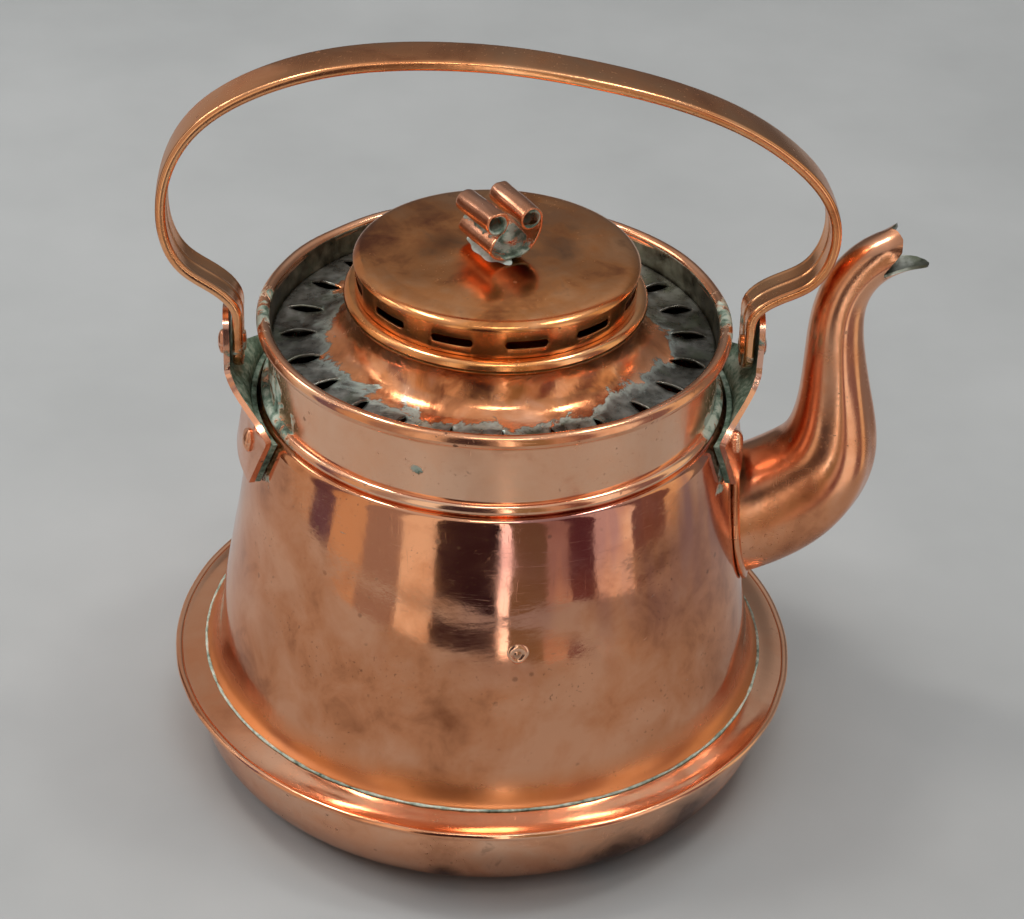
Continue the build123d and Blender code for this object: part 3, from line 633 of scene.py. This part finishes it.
# ---- spout ----
SPOUT = [
    (99.0, 105.0, 27.6), (111.5, 109.0, 27.2), (124.0, 115.0, 26.8), (136.0, 125.0, 25.4),
    (143.0, 137.0, 23.0), (144.6, 150.0, 19.5), (143.6, 166.0, 16.0), (141.6, 184.0, 13.2),
    (140.4, 201.0, 11.5), (141.6, 213.5, 10.6), (147.2, 225.0, 10.0), (157.5, 233.6, 9.7),
    (168.0, 236.6, 9.5), (179.0, 237.0, 9.4),
]
# Where the mouth is cut: angle round the pipe (90 is its back) and x of the edge
MOUTH_EDGE = [(-90, 175.6), (-75, 174.4), (-60, 171.0), (-48, 165.5), (-38, 159.5), (-28, 155.8),
              (-15, 155.6), (0, 158.4), (20, 161.8), (50, 162.2), (75, 160.4), (90, 158.4)]
SPOUT_STEPS = 400
SPOUT_COLUMNS = 96
SPOUT_ROWS = 190


def eased(route, reach):
    """The route with its bends eased: each point is a weighted mean of its neighbours."""
    padded = np.concatenate([[route[0]] * reach * 2, route, [route[-1]] * reach * 2])
    offsets = np.arange(-2 * reach, 2 * reach + 1)
    weights = np.exp(-(offsets / reach) ** 2)
    weights /= weights.sum()
    mean = np.stack([np.convolve(padded[:, k], weights, mode="valid") for k in range(route.shape[1])], 1)
    steps = np.arange(len(route))
    share = np.clip(np.minimum(steps, steps[::-1]) / (2 * reach), 0, 1)[:, None]
    return route + (mean - route) * share


def make_spout():
    """Pipe as an outer and an inner shell, cut along the mouth's edge and joined there."""
    route = eased(spline(SPOUT, SPOUT_STEPS), 21)
    heading = directions(route[:, :2])
    side_up = np.stack([-heading[:, 1], heading[:, 0]], 1)
    steps = np.arange(SPOUT_STEPS)
    angles = np.arange(SPOUT_COLUMNS) * 2 * pi / SPOUT_COLUMNS
    edge_angle, edge_x = np.array(MOUTH_EDGE).T
    shells = []
    for inside in (0.0, SHEET):
        shell = np.zeros((SPOUT_ROWS, SPOUT_COLUMNS, 3))
        for j, angle in enumerate(angles):
            folded = np.degrees(np.arcsin(sin(angle)))
            reach = route[:, 0] + route[:, 2] * sin(angle) * side_up[:, 0]
            upper = steps > 250
            last = np.interp(np.interp(folded, edge_angle, edge_x), reach[upper], steps[upper])
            share = np.linspace(0, 1, SPOUT_ROWS)
            s = share * last
            x, z, r = (np.interp(s, steps, route[:, k]) for k in range(3))
            ux, uz = (np.interp(s, steps, side_up[:, k]) for k in range(2))
            along = s / SPOUT_STEPS
            swell = np.exp(-((along - 0.36) / 0.22) ** 2)
            ridge = 0.030 * np.exp(-((angle - radians(212)) / 0.26) ** 2) * swell
            hollow = -0.055 * np.exp(-((angle - radians(240)) / 0.30) ** 2) * swell
            slim = -0.035 * np.exp(-((along - 0.42) / 0.20) ** 2)
            crease = 0.035 * np.exp(-((angle - radians(187)) / 0.20) ** 2) * np.clip((along - 0.3) * 4, 0, 1)
            dent = -0.030 * np.exp(-((angle - radians(160)) / 0.35) ** 2) * swell
            flare = 0.13 * np.clip((share - 0.965) / 0.035, 0, 1) ** 2 * max(sin(angle), 0) ** 0.5
            r = r * (1 + ridge + hollow + slim + crease + dent + flare) - inside - 0.25
            shell[:, j] = np.stack([x + r * sin(angle) * ux, r * cos(angle), z + r * sin(angle) * uz], 1)
        shells.append(shell)
    points = np.concatenate([shells[0], shells[1][::-1]])
    pipe = grid("spout", points, [SPOUT_COPPER, SPOUT_TIN], wrap_rows=True, wrap_columns=True,
                sharp=radians(60))
    order = [i for _, i, _ in grid_faces(2 * SPOUT_ROWS, SPOUT_COLUMNS, True, True)]
    for face, row in zip(pipe.data.polygons, order):
        face.material_index = 1 if SPOUT_ROWS - 1 <= row < 2 * SPOUT_ROWS - 1 else 0
    place(pipe, "vessel", "copper", "spout_pipe")


def make_spout_collar():
    centre_z = (size("spout_collar", 0, "z") + size("spout_collar", 1, "z")) / 2
    reach = (size("spout_collar", 1, "z") - size("spout_collar", 0, "z")) / 2
    plate = 2.2
    loop = [(24.0, 0.3), (24.0, plate), (26.6, plate), (27.4, plate + 0.5), (28.2, plate + 0.2),
            (reach - 0.6, plate), (reach - 0.1, plate - 0.7), (reach, 0.7), (reach - 0.3, 0.25)]
    columns = 120
    points = np.zeros((columns, len(loop), 3))
    waves = unevenness(31, 0.25, turns=(2, 9))
    for i in range(columns):
        angle = 2 * pi * i / columns
        for j, (rho, out) in enumerate(loop):
            rho = rho + waves(angle, 0) * 0.6
            y, z = rho * cos(angle), centre_z + rho * sin(angle)
            points[i, j] = sqrt(cone_r(z) ** 2 - y ** 2) + out, y, z
    place(grid("spout_foot_plate", points, SPOUT_COPPER, True, True, sharp=radians(50)),
          "vessel", "copper", "spout_collar")


# ---- ears and rivets ----
def ear_line():
    """Outer face of an ear: up the body, out over the shoulder and up the tab."""
    lift = EAR_BACKING + EAR_PLATE
    bend_z, tab_z = 169.5, 178.5
    low = line((cone_r(EAR_LOW_Z) + lift, EAR_LOW_Z), (cone_r(bend_z - 3) + lift, bend_z - 3), 16)
    turn = spline([(cone_r(bend_z - 3) + lift, bend_z - 3), (cone_r(bend_z) + lift + 0.9, bend_z + 0.8),
                   (EAR_OUT_R - 2.2, tab_z - 1.0), (EAR_OUT_R - 0.05, tab_z + 4.0)], 22)
    tab = line((EAR_OUT_R, tab_z + 4.6), (EAR_OUT_R, EAR_TOP_Z - TAB_HALF), 10)
    crown = [(EAR_OUT_R, EAR_TOP_Z - TAB_HALF * (1 - sin(a))) for a in np.linspace(0, pi / 2, 14)]
    return [*low, *turn, *tab, *crown]


def ear_half_width(z):
    """Half the width of an ear at a height: widening plate, waist, straight tab, round top."""
    low_half, wide_half, wide_z = 35.5, 44.5, 169.0
    if z <= wide_z:
        return low_half + (wide_half - low_half) * (z - EAR_LOW_Z) / (wide_z - EAR_LOW_Z)
    tab_end = EAR_TOP_Z - TAB_HALF
    if z >= tab_end:
        return sqrt(max(TAB_HALF ** 2 - (z - tab_end) ** 2, 0.0004))
    waist = spline([(wide_z, wide_half), (172.0, 34.5), (174.5, 26.0), (179.0, 16.5), (184.5, TAB_HALF)], 60)
    return float(np.interp(z, waist[:, 0], waist[:, 1])) if z < 184.5 else TAB_HALF


def plate_on_cone(name, outline, side, material, waves, columns=41):
    """Curved plate: outline gives (radius, height, half width) rows, bent round the kettle's axis."""
    points = np.zeros((len(outline), columns, 3))
    for i, (r, z, half) in enumerate(outline):
        for j in range(columns):
            y = half * (2 * j / (columns - 1) - 1)
            out = sqrt(r * r - y * y) + waves(y / 30, z)
            points[i, j] = side * out, side * y, z
    return grid(name, points, material)


def dome(name, centre, out, radius, rise, material, seed, depth=1.2):
    """Hammered rivet head: a closed dome standing on a plate, with its shank's end behind."""
    rng = np.random.default_rng(seed)
    out = Vector(out).normalized()
    across = out.orthogonal().normalized()
    up = out.cross(across)
    lean = rng.uniform(-0.12, 0.12, 2)
    rows = [(radius * 0.8, -depth), (radius * 0.98, -0.2), (radius, 0.25)]
    rows += [(radius * cos(a), 0.25 + rise * sin(a)) for a in np.linspace(0.25, pi / 2 - 0.02, 9)]
    columns = 32
    points = np.zeros((len(rows), columns, 3))
    facets = rng.uniform(-0.05, 0.05, 6)
    for i, (r, h) in enumerate(rows):
        for j in range(columns):
            a = 2 * pi * j / columns
            uneven = 1 + sum(f * sin((k + 2) * a + 9 * f) for k, f in enumerate(facets))
            x, y = r * uneven * cos(a), r * uneven * sin(a)
            h2 = h * (1 + lean[0] * x / radius + lean[1] * y / radius)
            points[i, j] = Vector(centre) + across * x + up * y + out * h2
    return grid(name, points, material, wrap_columns=True, caps=True)


def make_ears():
    for side, word in ((1, "front"), (-1, "rear")):
        waves = unevenness(40 + side, 0.10, turns=(1, 4))
        outline = [(r, z, ear_half_width(z)) for r, z in ear_line()]
        ear = plate_on_cone(word + "_ear_plate", outline, side, [EAR_COPPER, EAR_INSIDE], waves)
        thicken(ear, EAR_PLATE, offset=-1.0)
        solid = ear.modifiers["Solidify"]
        solid.material_offset = 1
        place(ear, "vessel", "copper", word + "_ear")

        backing = [(cone_r(z) + EAR_BACKING, z, ear_half_width(z) - 0.3)
                   for z in np.linspace(EAR_LOW_Z + 0.3, 167.5, 20)]
        pad = plate_on_cone(word + "_ear_pad", backing, side, EAR_INSIDE, lambda a, z: -0.15)
        thicken(pad, EAR_BACKING - 0.3)
        place(pad, "vessel", "green_copper", word + "_ear_backing")

        tilt = atan2(CONE_SLOPE, 1)
        for number, turn in enumerate((-15, 15)):
            azimuth = radians((0 if side > 0 else 180) + turn)
            out = Vector((cos(azimuth) * cos(tilt), sin(azimuth) * cos(tilt), sin(tilt)))
            r = cone_r(158.5)
            foot = Vector((r * cos(azimuth), r * sin(azimuth), 158.5)) + out * (EAR_BACKING + EAR_PLATE)
            head = dome(f"{word}_ear_rivet_{number + 1}", foot, out, 4.9, 2.1, RIVET_COPPER, 50 + number)
            place(head, "vessel", "rivet_copper", "ear_rivets")

        head_foot = Vector((side * EAR_OUT_R, 0, PIVOT_Z))
        head = dome(word + "_pivot_head", head_foot, (side, 0, 0), 4.8, 2.0, EAR_COPPER, 60)
        place(head, "vessel", "rivet_copper")
        clinch_foot = Vector((side * (BAIL_FOOT_X - BAIL_THICK / 2 - 0.3), 0, PIVOT_Z))
        clinch = dome(word + "_pivot_clinch", clinch_foot, (-side, 0, 0), 4.0, 0.7, HANDLE_COPPER, 61,
                      depth=4.5)
        place(clinch, "vessel", "rivet_copper", word + "_pivot_rivet")


# ---- bail handle ----
BAIL_ROUTE = [
    (-BAIL_FOOT_X, 201.0), (-BAIL_FOOT_X, 207.0), (-111.0, 216.6), (-124.8, 227.0), (-133.3, 253.0),
    (-120.3, 286.8), (-77.3, 311.2), (-20.0, 317.1), (52.8, 306.0), (116.4, 276.0),
    (134.8, 246.0), (126.8, 222.4), (111.2, 213.8), (BAIL_FOOT_X, 206.0), (BAIL_FOOT_X, 200.0),
]


def bail_section(narrow):
    """Strap section as (across, out): crowned outside, rounded edges, a low seam along the inside."""
    half_w, half_t = BAIL_WIDTH / 2 * narrow, BAIL_THICK / 2
    edge = 1.7
    points = [(-half_w + edge + (2 * half_w - 2 * edge) * k / 12,
               half_t - 0.30 * (2 * k / 12 - 1) ** 2) for k in range(13)]
    points += [(half_w - edge + edge * sin(a), half_t - 0.3 - edge + edge * cos(a))
               for a in np.linspace(0.3, 1.57, 5)]
    points += [(half_w - edge + edge * cos(a), -half_t + edge - edge * sin(a))
               for a in np.linspace(0.2, 1.57, 5)]
    inner = [(half_w * u, -half_t + 0.55 * (1 - abs(u)) ** 0.5 - 0.55 * np.exp(-(u / 0.07) ** 2))
             for u in np.linspace(0.74, -0.74, 25)]
    mirrored = [(-x, z) for x, z in points[:12:-1]]
    return np.array(points + inner + mirrored)


def make_bail():
    start, end = BAIL_ROUTE[0], BAIL_ROUTE[-1]
    foot_run = 26
    route = [*line((start[0], BAIL_FOOT_Z), start, foot_run), *spline(BAIL_ROUTE, 220),
             *line(end, (end[0], BAIL_FOOT_Z), foot_run)[1:], (end[0], BAIL_FOOT_Z)]
    route = np.array(route)
    heading = directions(route)
    outward = np.stack([-heading[:, 1], heading[:, 0]], 1)
    waves = unevenness(71, 0.12, turns=(1, 3), rise=(30, 90))
    rows = []
    for i, ((x, z), (ox, oz)) in enumerate(zip(route, outward)):
        drop = PIVOT_Z - z
        narrow = sqrt(max(1 - (drop / (BAIL_WIDTH / 2)) ** 2, 0.0006)) if drop > 0 else 1.0
        section = bail_section(1.0)
        section[:, 0] *= narrow
        wave = waves(0, i * 2.0)
        rows.append([(x + ox * (out + wave), across, z + oz * (out + wave)) for across, out in section])
    place(grid("bail", np.array(rows), HANDLE_COPPER, wrap_columns=True, caps=True, sharp=radians(55)),
          "bail", "handle_copper", "bail_strap")


# ---- insert ----
SLITS = 24


def make_bell():
    """Tinned shelf with raised pointed slits, turning up into the bell under the seat ring."""
    flat = line((SHELF_R - 0.4, SHELF_Z + THIN), (79.0, SHELF_Z + THIN), 16)
    rise = spline([(79.0, SHELF_Z + THIN), (71.0, SHELF_Z + 2.7), (64.0, SHELF_Z + 5.8),
                   (59.2, SHELF_Z + 11.5), (57.3, BELL_TOP_Z - 0.2)], 60)
    profile = np.array([*flat, *rise])
    slit_out, slit_in, lift = 87.5, 72.5, 3.2
    open_share = np.clip((slit_out - profile[:, 0]) / (slit_out - slit_in), 0, 1)
    cut = (profile[:, 0] < slit_out) & (profile[:, 0] > slit_in)
    lens = np.where(cut, np.sin(pi * open_share) ** 0.8, 0)
    waves = unevenness(81, 0.35, rise=(300, 500))
    rng = np.random.default_rng(82)
    columns, slit_columns = [], []
    sector = 2 * pi / SLITS
    for k in range(SLITS):
        middle = k * sector + rng.uniform(-0.007, 0.007)
        far_side = 1 if cos(middle) > 0 else -1
        wide, raised = rng.uniform(0.8, 1.3), lift * rng.uniform(0.6, 1.0)
        slit_columns.append(len(columns))
        for part in (-1, 1):
            half = part * wide * lens / profile[:, 0]
            up = raised * lens if part == far_side else -0.4 * lens
            columns.append((middle + half, up))
        for share in np.linspace(0.08, 0.92, 12):
            from_raised = share if far_side > 0 else 1 - share
            rises = raised * lens * np.exp(-from_raised / 0.16)
            sinks = 0.4 * lens * np.exp(-(1 - from_raised) / 0.10)
            columns.append((middle + sector * share + 0 * lens, rises - sinks))
    points = np.zeros((len(columns), len(profile), 3))
    for i, (angle, up) in enumerate(columns):
        r, z = profile[:, 0], profile[:, 1] + up
        z = z + waves(angle, 0) * np.clip((r - 64) / 10, 0, 1) * np.clip((SHELF_R - r) / 6, 0, 1)
        points[i] = np.stack([r * np.cos(angle), r * np.sin(angle), z], 1)
    opened = {(column, j) for column in slit_columns for j in range(len(profile) - 1)
              if lens[j] > 0 or lens[j + 1] > 0}
    bell = grid("insert_shelf_and_bell", points, SHELF_TIN, wrap_rows=True,
                skip=lambda i, j: (i, j) in opened)
    modify(bell, "SOLIDIFY", thickness=THIN * MM, offset=-1)
    place(bell, "insert", "tinned_copper", "insert_bell")


def make_ring():
    middle = (RING_Z + RING_TOP) / 2
    turns = np.linspace(-pi / 2, pi / 2, 18)
    loop = [(RING_R - 3.4 + 3.4 * cos(a), middle + (RING_TOP - RING_Z) / 2 * sin(a)) for a in turns]
    loop += [(56.9, RING_TOP), (56.4, RING_TOP - 0.5), (56.4, RING_Z + 0.5), (56.9, RING_Z)]
    waves = unevenness(91, 0.12, turns=(2, 14), rise=(90, 200))

    def bend(angle, r, z):
        return r - 0.1, z + 0.4 * waves(angle, z * 0)

    place(lathe("seat_ring", loop, DRUM_COPPER, bend), "insert", "copper", "insert_ring")


# ---- cap ----
VENTS = 12
VENT_Z = 222.3
VENT_LONG = 17.5
VENT_HIGH = 3.4
VENT_PHASE = radians(9.6)


def make_drum():
    """Side of the cap with its row of slots, each with rounded ends and a pressed-in lip."""
    vent_half = VENT_LONG / 2 / DRUM_R
    columns = []
    for k in range(VENTS):
        middle = VENT_PHASE + k * 2 * pi / VENTS
        for share in np.linspace(-1, 1, 25):
            along = abs(share) * VENT_LONG / 2
            over = max(along - (VENT_LONG - VENT_HIGH) / 2, 0)
            columns.append((middle + share * vent_half, sqrt(max((VENT_HIGH / 2) ** 2 - over ** 2, 0))))
        gap = 2 * pi / VENTS - 2 * vent_half
        columns += [(middle + vent_half + gap * share, 0.0) for share in np.linspace(0.12, 0.88, 9)]
    levels = 9
    rows = 2 * levels
    points = np.zeros((len(columns), rows, 3))
    for i, (angle, half) in enumerate(columns):
        below = np.linspace(DRUM_Z + 0.1, VENT_Z - half, levels)
        above = np.linspace(VENT_Z + half, DRUM_TOP, levels)
        z = np.concatenate([below, above])
        lip = 0.45 * np.exp(-np.abs(z - VENT_Z) / 2.2) * (1 if half > 0 else 0)
        r = DRUM_R - lip + 0 * z
        points[i] = np.stack([r * cos(angle), r * sin(angle), z], 1)
    opened = {(i, levels - 1) for i in range(len(columns))
              if columns[i][1] > 0 or columns[(i + 1) % len(columns)][1] > 0}
    drum = grid("cap_side", points, DRUM_COPPER, wrap_rows=True, skip=lambda i, j: (i, j) in opened)
    thicken(drum, THIN, bevel=0.25)
    place(drum, "cap", "copper", "cap_drum")


def make_disc():
    edge_z = DRUM_TOP + THIN / 2 + 0.15
    top = DISC_TOP - THIN / 2
    crown = [(0, top), (20, top - 0.2), (40, top - 1.15), (51, top - 2.3), (55.4, top - 3.3)]
    rolled = [(57.0, edge_z + 0.75), (57.45, edge_z + 0.1)]
    waves = unevenness(101, 0.32, turns=(1, 6), rise=(300, 400))
    rng = np.random.default_rng(102)
    dents = [(rng.uniform(12, 46), rng.uniform(0, 2 * pi), rng.uniform(6, 15), rng.uniform(0.15, 0.5))
             for _ in range(14)]

    def bend(angle, r, z):
        inner = np.clip((55 - r) / 8, 0, 1)
        x, y = r * np.cos(angle), r * np.sin(angle)
        sink = sum(deep * np.exp(-((x - far * cos(a)) ** 2 + (y - far * sin(a)) ** 2) / wide ** 2)
                   for far, a, wide, deep in dents)
        return r, z - (sink + 0.25 + waves(angle, 0) * np.clip(r / 30, 0, 1)) * inner * np.clip(r / 9, 0, 1)

    middle = spline(crown + rolled, 110)
    loop = sheet_loop(middle, THIN, round_start=False)
    place(lathe("cap_top", loop, CAP_COPPER, bend), "cap", "copper", "cap_disc")


def make_knob():
    """Strip rolled into two scrolls at its ends and bent into a lyre, lying across the cap."""
    along = Vector((cos(KNOB_TURN), sin(KNOB_TURN), 0))
    across = Vector(KNOB_ACROSS)
    base = Vector((0, 0, KNOB_Z))
    top = size("knob_scroll", 1, "z") - base.z
    long = 26.0
    strip = 1.0
    turns = np.linspace(0, 2 * pi * 1.3, 44)
    radii = np.linspace(SCROLL_R, SCROLL_R - 1.3, 44)
    left_roll = [(-SCROLL_X + r * cos(a), SCROLL_Z + r * sin(a)) for a, r in zip(turns, radii)][::-1]
    right_roll = [(SCROLL_X + r * cos(a), SCROLL_Z + r * sin(a)) for a, r in zip(turns, radii)]
    lyre = spline([left_roll[-1], (-4.6, 12.4), (-8.2, 9.0), (-10.4, 5.2), (-7.0, 1.4), (0, strip * 0.6),
                   (6.0, 1.8), (10.2, 6.4), (12.0, 11.0), right_roll[0]], 80)[1:-1]
    outline = np.array([*left_roll, *lyre, *right_roll])
    columns = 26
    points = np.zeros((len(outline), columns, 3))
    waves = unevenness(111, 0.18, turns=(1, 3))
    for i, (x, z) in enumerate(outline):
        lean = 1.6 if x < 0 else -0.8
        for j in range(columns):
            share = 2 * j / (columns - 1) - 1
            up = max(z + 0.25 * waves(share, z) + 0.02 * z * share * lean, strip * 0.6)
            shift = lean * min(z / 17, 1)
            lengthwise = along * (share * long / 2 * 0.97 - shift * 0.5)
            crosswise = across * (x + waves(share * 2, z))
            points[i, j] = base + lengthwise + crosswise + Vector((0, 0, min(up, top - strip)))
    knob = grid("knob", points, KNOB_COPPER)
    modify(knob, "SOLIDIFY", thickness=strip * MM, offset=0, use_even_offset=True)
    modify(knob, "BEVEL", width=0.25 * MM, segments=2, limit_method="ANGLE", angle_limit=radians(50))
    place(knob, "cap", "dark_copper", "knob_scroll")

    rows, columns = 18, 64
    rng = np.random.default_rng(121)
    ripples = [(rng.integers(2, 9), rng.uniform(0, 2 * pi), rng.uniform(0.02, 0.07)) for _ in range(6)]
    points = np.zeros((rows, columns, 3))
    for i in range(rows):
        share = i / (rows - 1)
        for j in range(columns):
            a = 2 * pi * j / columns
            edge = 1 + sum(h * sin(k * a + p) for k, p, h in ripples)
            reach = share * edge
            x, y = (long / 2 + 1.5) * reach * cos(a), 9.6 * reach * sin(a)
            high = 3.0 * (1 - share ** 2.4) + 0.15 * sin(5 * x) * sin(4 * y) * (1 - share) - 0.9
            point = along * x + across * (y - 1.2)
            points[i, j] = point.x, point.y, DISC_TOP - 0.2 + high
    blob = grid("knob_solder_blob", points, SOLDER, wrap_columns=True, sharp=radians(80))
    modify(blob, "SOLIDIFY", thickness=0.5 * MM, offset=-1)
    place(blob, "cap", "tin_solder", "knob_solder")


# ---- repair plug ----
def make_plug():
    azimuth, z = radians(-86), 110.3
    tilt = atan2(CONE_SLOPE, 1)
    out = Vector((cos(azimuth) * cos(tilt), sin(azimuth) * cos(tilt), sin(tilt)))
    across = Vector((-sin(azimuth), cos(azimuth), 0))
    up = out.cross(across)
    foot = Vector((cone_r(z) * cos(azimuth), cone_r(z) * sin(azimuth), z))
    rows = [(4.3, -1.0), (4.3, -0.15), (4.0, 0.12), (3.4, 0.42), (2.9, 0.50), (2.4, 0.38),
            (1.9, 0.12), (1.5, 0.05), (1.1, 0.22), (0.6, 0.34), (0.05, 0.36)]
    columns = 48
    points = np.zeros((len(rows), columns, 3))
    for i, (r, h) in enumerate(rows):
        for j in range(columns):
            a = 2 * pi * j / columns
            wander = 1 + 0.10 * sin(a + 0.6) + 0.05 * sin(3 * a)
            points[i, j] = foot + across * r * wander * cos(a) + up * r * wander * sin(a) + out * h
    material = copper("plug_copper", tones=((0.25, 0.09, 0.05), (0.72, 0.36, 0.22), PALE), grime=0.9,
                      dark_spots=[(tuple(foot + out * 0.2), 3.4)])
    plug = grid("body_repair_plug", points, material, wrap_columns=True, caps=True)
    place(plug, "vessel", "rivet_copper", "body_plug")


def dress_kept_nodes():
    """Inner sleeves keep their CAD shape and get an old tinned or darkened finish."""
    for node, material in (("insert_sleeve", NECK_TIN), ("cap_sleeve", HIDDEN_COPPER)):
        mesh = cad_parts[node].data
        mesh.materials.clear()
        mesh.materials.append(material)


# ---- stage ----
def emitter(name, colour, strength):
    material = bpy.data.materials.new(name)
    material.use_nodes = True
    tree = material.node_tree
    tree.nodes.clear()
    glow = tree.nodes.new("ShaderNodeEmission")
    glow.inputs["Color"].default_value = (*colour, 1)
    glow.inputs["Strength"].default_value = strength
    out = tree.nodes.new("ShaderNodeOutputMaterial")
    tree.links.new(glow.outputs[0], out.inputs["Surface"])
    return material


# Upright cards that only the polished metal sees: from, to (degrees round from the camera), top, colour
CARDS = [
    (-150, -118, 0.50, (0.34, 0.30, 0.27)), (-118, -96, 0.45, (0.10, 0.05, 0.03)),
    (-96, -78, 0.60, (0.55, 0.50, 0.42)), (-78, -66, 0.50, (0.13, 0.09, 0.15)),
    (-66, -50, 0.60, (0.60, 0.45, 0.30)), (-50, -34, 0.60, (0.34, 0.28, 0.26)),
    (-34, -20, 0.60, (0.85, 0.78, 0.66)), (-20, 5, 0.60, (0.035, 0.02, 0.028)),
    (6, 10, 0.60, (2.6, 2.5, 2.3)), (10, 24, 0.60, (0.26, 0.20, 0.12)),
    (24, 33, 0.60, (0.55, 0.42, 0.34)), (33, 44, 0.60, (0.16, 0.07, 0.08)),
    (44, 62, 0.60, (0.95, 0.90, 0.82)), (62, 80, 0.50, (0.20, 0.13, 0.14)),
    (80, 96, 0.60, (0.75, 0.66, 0.48)), (96, 124, 0.50, (0.22, 0.20, 0.19)),
]
CARD_R = 0.455
CAMERA_AZIMUTH = radians(-93.5)


def make_cards():
    for number, (start, end, top, colour) in enumerate(CARDS):
        turns = np.linspace(CAMERA_AZIMUTH + radians(start), CAMERA_AZIMUTH + radians(end), 8)
        points = [[(CARD_R * cos(a), CARD_R * sin(a), z) for a in turns] for z in (0.0, top)]
        card = grid(f"reflection_card_{number + 1}", np.array(points) / MM,
                    emitter(f"card_{number + 1}", colour, 1.0))
        card.visible_camera = card.visible_diffuse = card.visible_shadow = False
        card.visible_transmission = card.visible_volume_scatter = False


def make_floor():
    mesh = bpy.data.meshes.new("floor")
    half = 5.0
    low = CAD_BOX[0].z - 0.2 * MM
    mesh.from_pydata([(-half, -half, low), (half, -half, low), (half, half, low), (-half, half, low)], [],
                     [(0, 1, 2, 3)])
    floor = bpy.data.objects.new("floor", mesh)
    bpy.context.scene.collection.objects.link(floor)
    n = Nodes("floor_paint")
    colour = n.ramp(n.noise(6, 4), (0.35, (0.36, 0.37, 0.37)), (0.65, (0.40, 0.41, 0.41)))
    n.shader.inputs["Specular IOR Level"].default_value = 0.0
    mesh.materials.append(n.finish(colour, 0.0, 0.42, n.noise(220, 3), 0.03))


def make_light(name, location, width, height, power, colour=(1, 1, 1)):
    data = bpy.data.lights.new(name, "AREA")
    data.shape = "RECTANGLE"
    data.size = width
    data.size_y = height
    data.energy = power
    data.color = colour
    light = bpy.data.objects.new(name, data)
    light.location = location
    aim = Vector((0, 0, 0.12)) - light.location
    light.rotation_mode = "QUATERNION"
    light.rotation_quaternion = aim.to_track_quat("-Z", "Y")
    bpy.context.scene.collection.objects.link(light)
    return light


WARM = (1.0, 0.96, 0.90)


def make_lights():
    make_light("window_left", (-1.6, 0.35, 1.15), 0.8, 0.9, 13)
    make_light("lamp_overhead_left", (-0.78, 0.20, 1.88), 0.24, 0.24, 6.5, WARM)
    make_light("lamp_overhead_right", (0.79, 0.05, 1.88), 0.24, 0.24, 5.0, WARM)
    make_light("lamp_front", (0.05, -0.75, 1.95), 0.5, 0.16, 2.5, WARM)
    sky = make_light("overhead", (0.1, -0.1, 2.2), 1.8, 1.6, 16)
    sky.visible_glossy = False
    world = bpy.data.worlds.new("studio")
    world.use_nodes = True
    tree = world.node_tree
    where = tree.nodes.new("ShaderNodeTexCoord")
    split = tree.nodes.new("ShaderNodeSeparateXYZ")
    tree.links.new(where.outputs["Generated"], split.inputs[0])
    ramp = tree.nodes.new("ShaderNodeValToRGB")
    tree.links.new(split.outputs["Z"], ramp.inputs[0])
    stops = ((0.0, 0.10), (0.45, 0.16), (0.9, 0.60))
    while len(ramp.color_ramp.elements) < len(stops):
        ramp.color_ramp.elements.new(0.5)
    for element, (position, grey) in zip(ramp.color_ramp.elements, stops):
        element.position = position
        element.color = (grey, grey, grey * 1.01, 1)
    tree.links.new(ramp.outputs[0], tree.nodes["Background"].inputs["Color"])
    bpy.context.scene.world = world
    bpy.context.scene.view_settings.view_transform = "Standard"


def make_camera():
    """Camera above and in front of the kettle, turned a little and leaning."""
    yaw, pitch, roll = radians(4.10), radians(33.45), radians(2.51)
    forward = Vector((sin(yaw) * cos(pitch), cos(yaw) * cos(pitch), -sin(pitch)))
    right = forward.cross(Vector((0, 0, 1))).normalized()
    up = right.cross(forward)
    right, up = right * cos(roll) + up * sin(roll), up * cos(roll) - right * sin(roll)
    data = bpy.data.cameras.new("camera")
    data.sensor_width = 36
    data.lens = 90.84
    camera = bpy.data.objects.new("camera", data)
    turn = Matrix((right, up, -forward)).transposed().to_4x4()
    camera.matrix_world = Matrix.Translation((-0.0556, -0.9085, 0.7340)) @ turn
    bpy.context.scene.collection.objects.link(camera)
    bpy.context.scene.camera = camera


for build in (make_camera, make_floor, make_cards, make_lights, make_pan, make_brim, make_foot_solder,
              make_body, make_neck, make_spout, make_spout_collar, make_ears, make_bail, make_bell,
              make_ring, make_drum, make_disc, make_knob, make_plug, dress_kept_nodes):
    build()
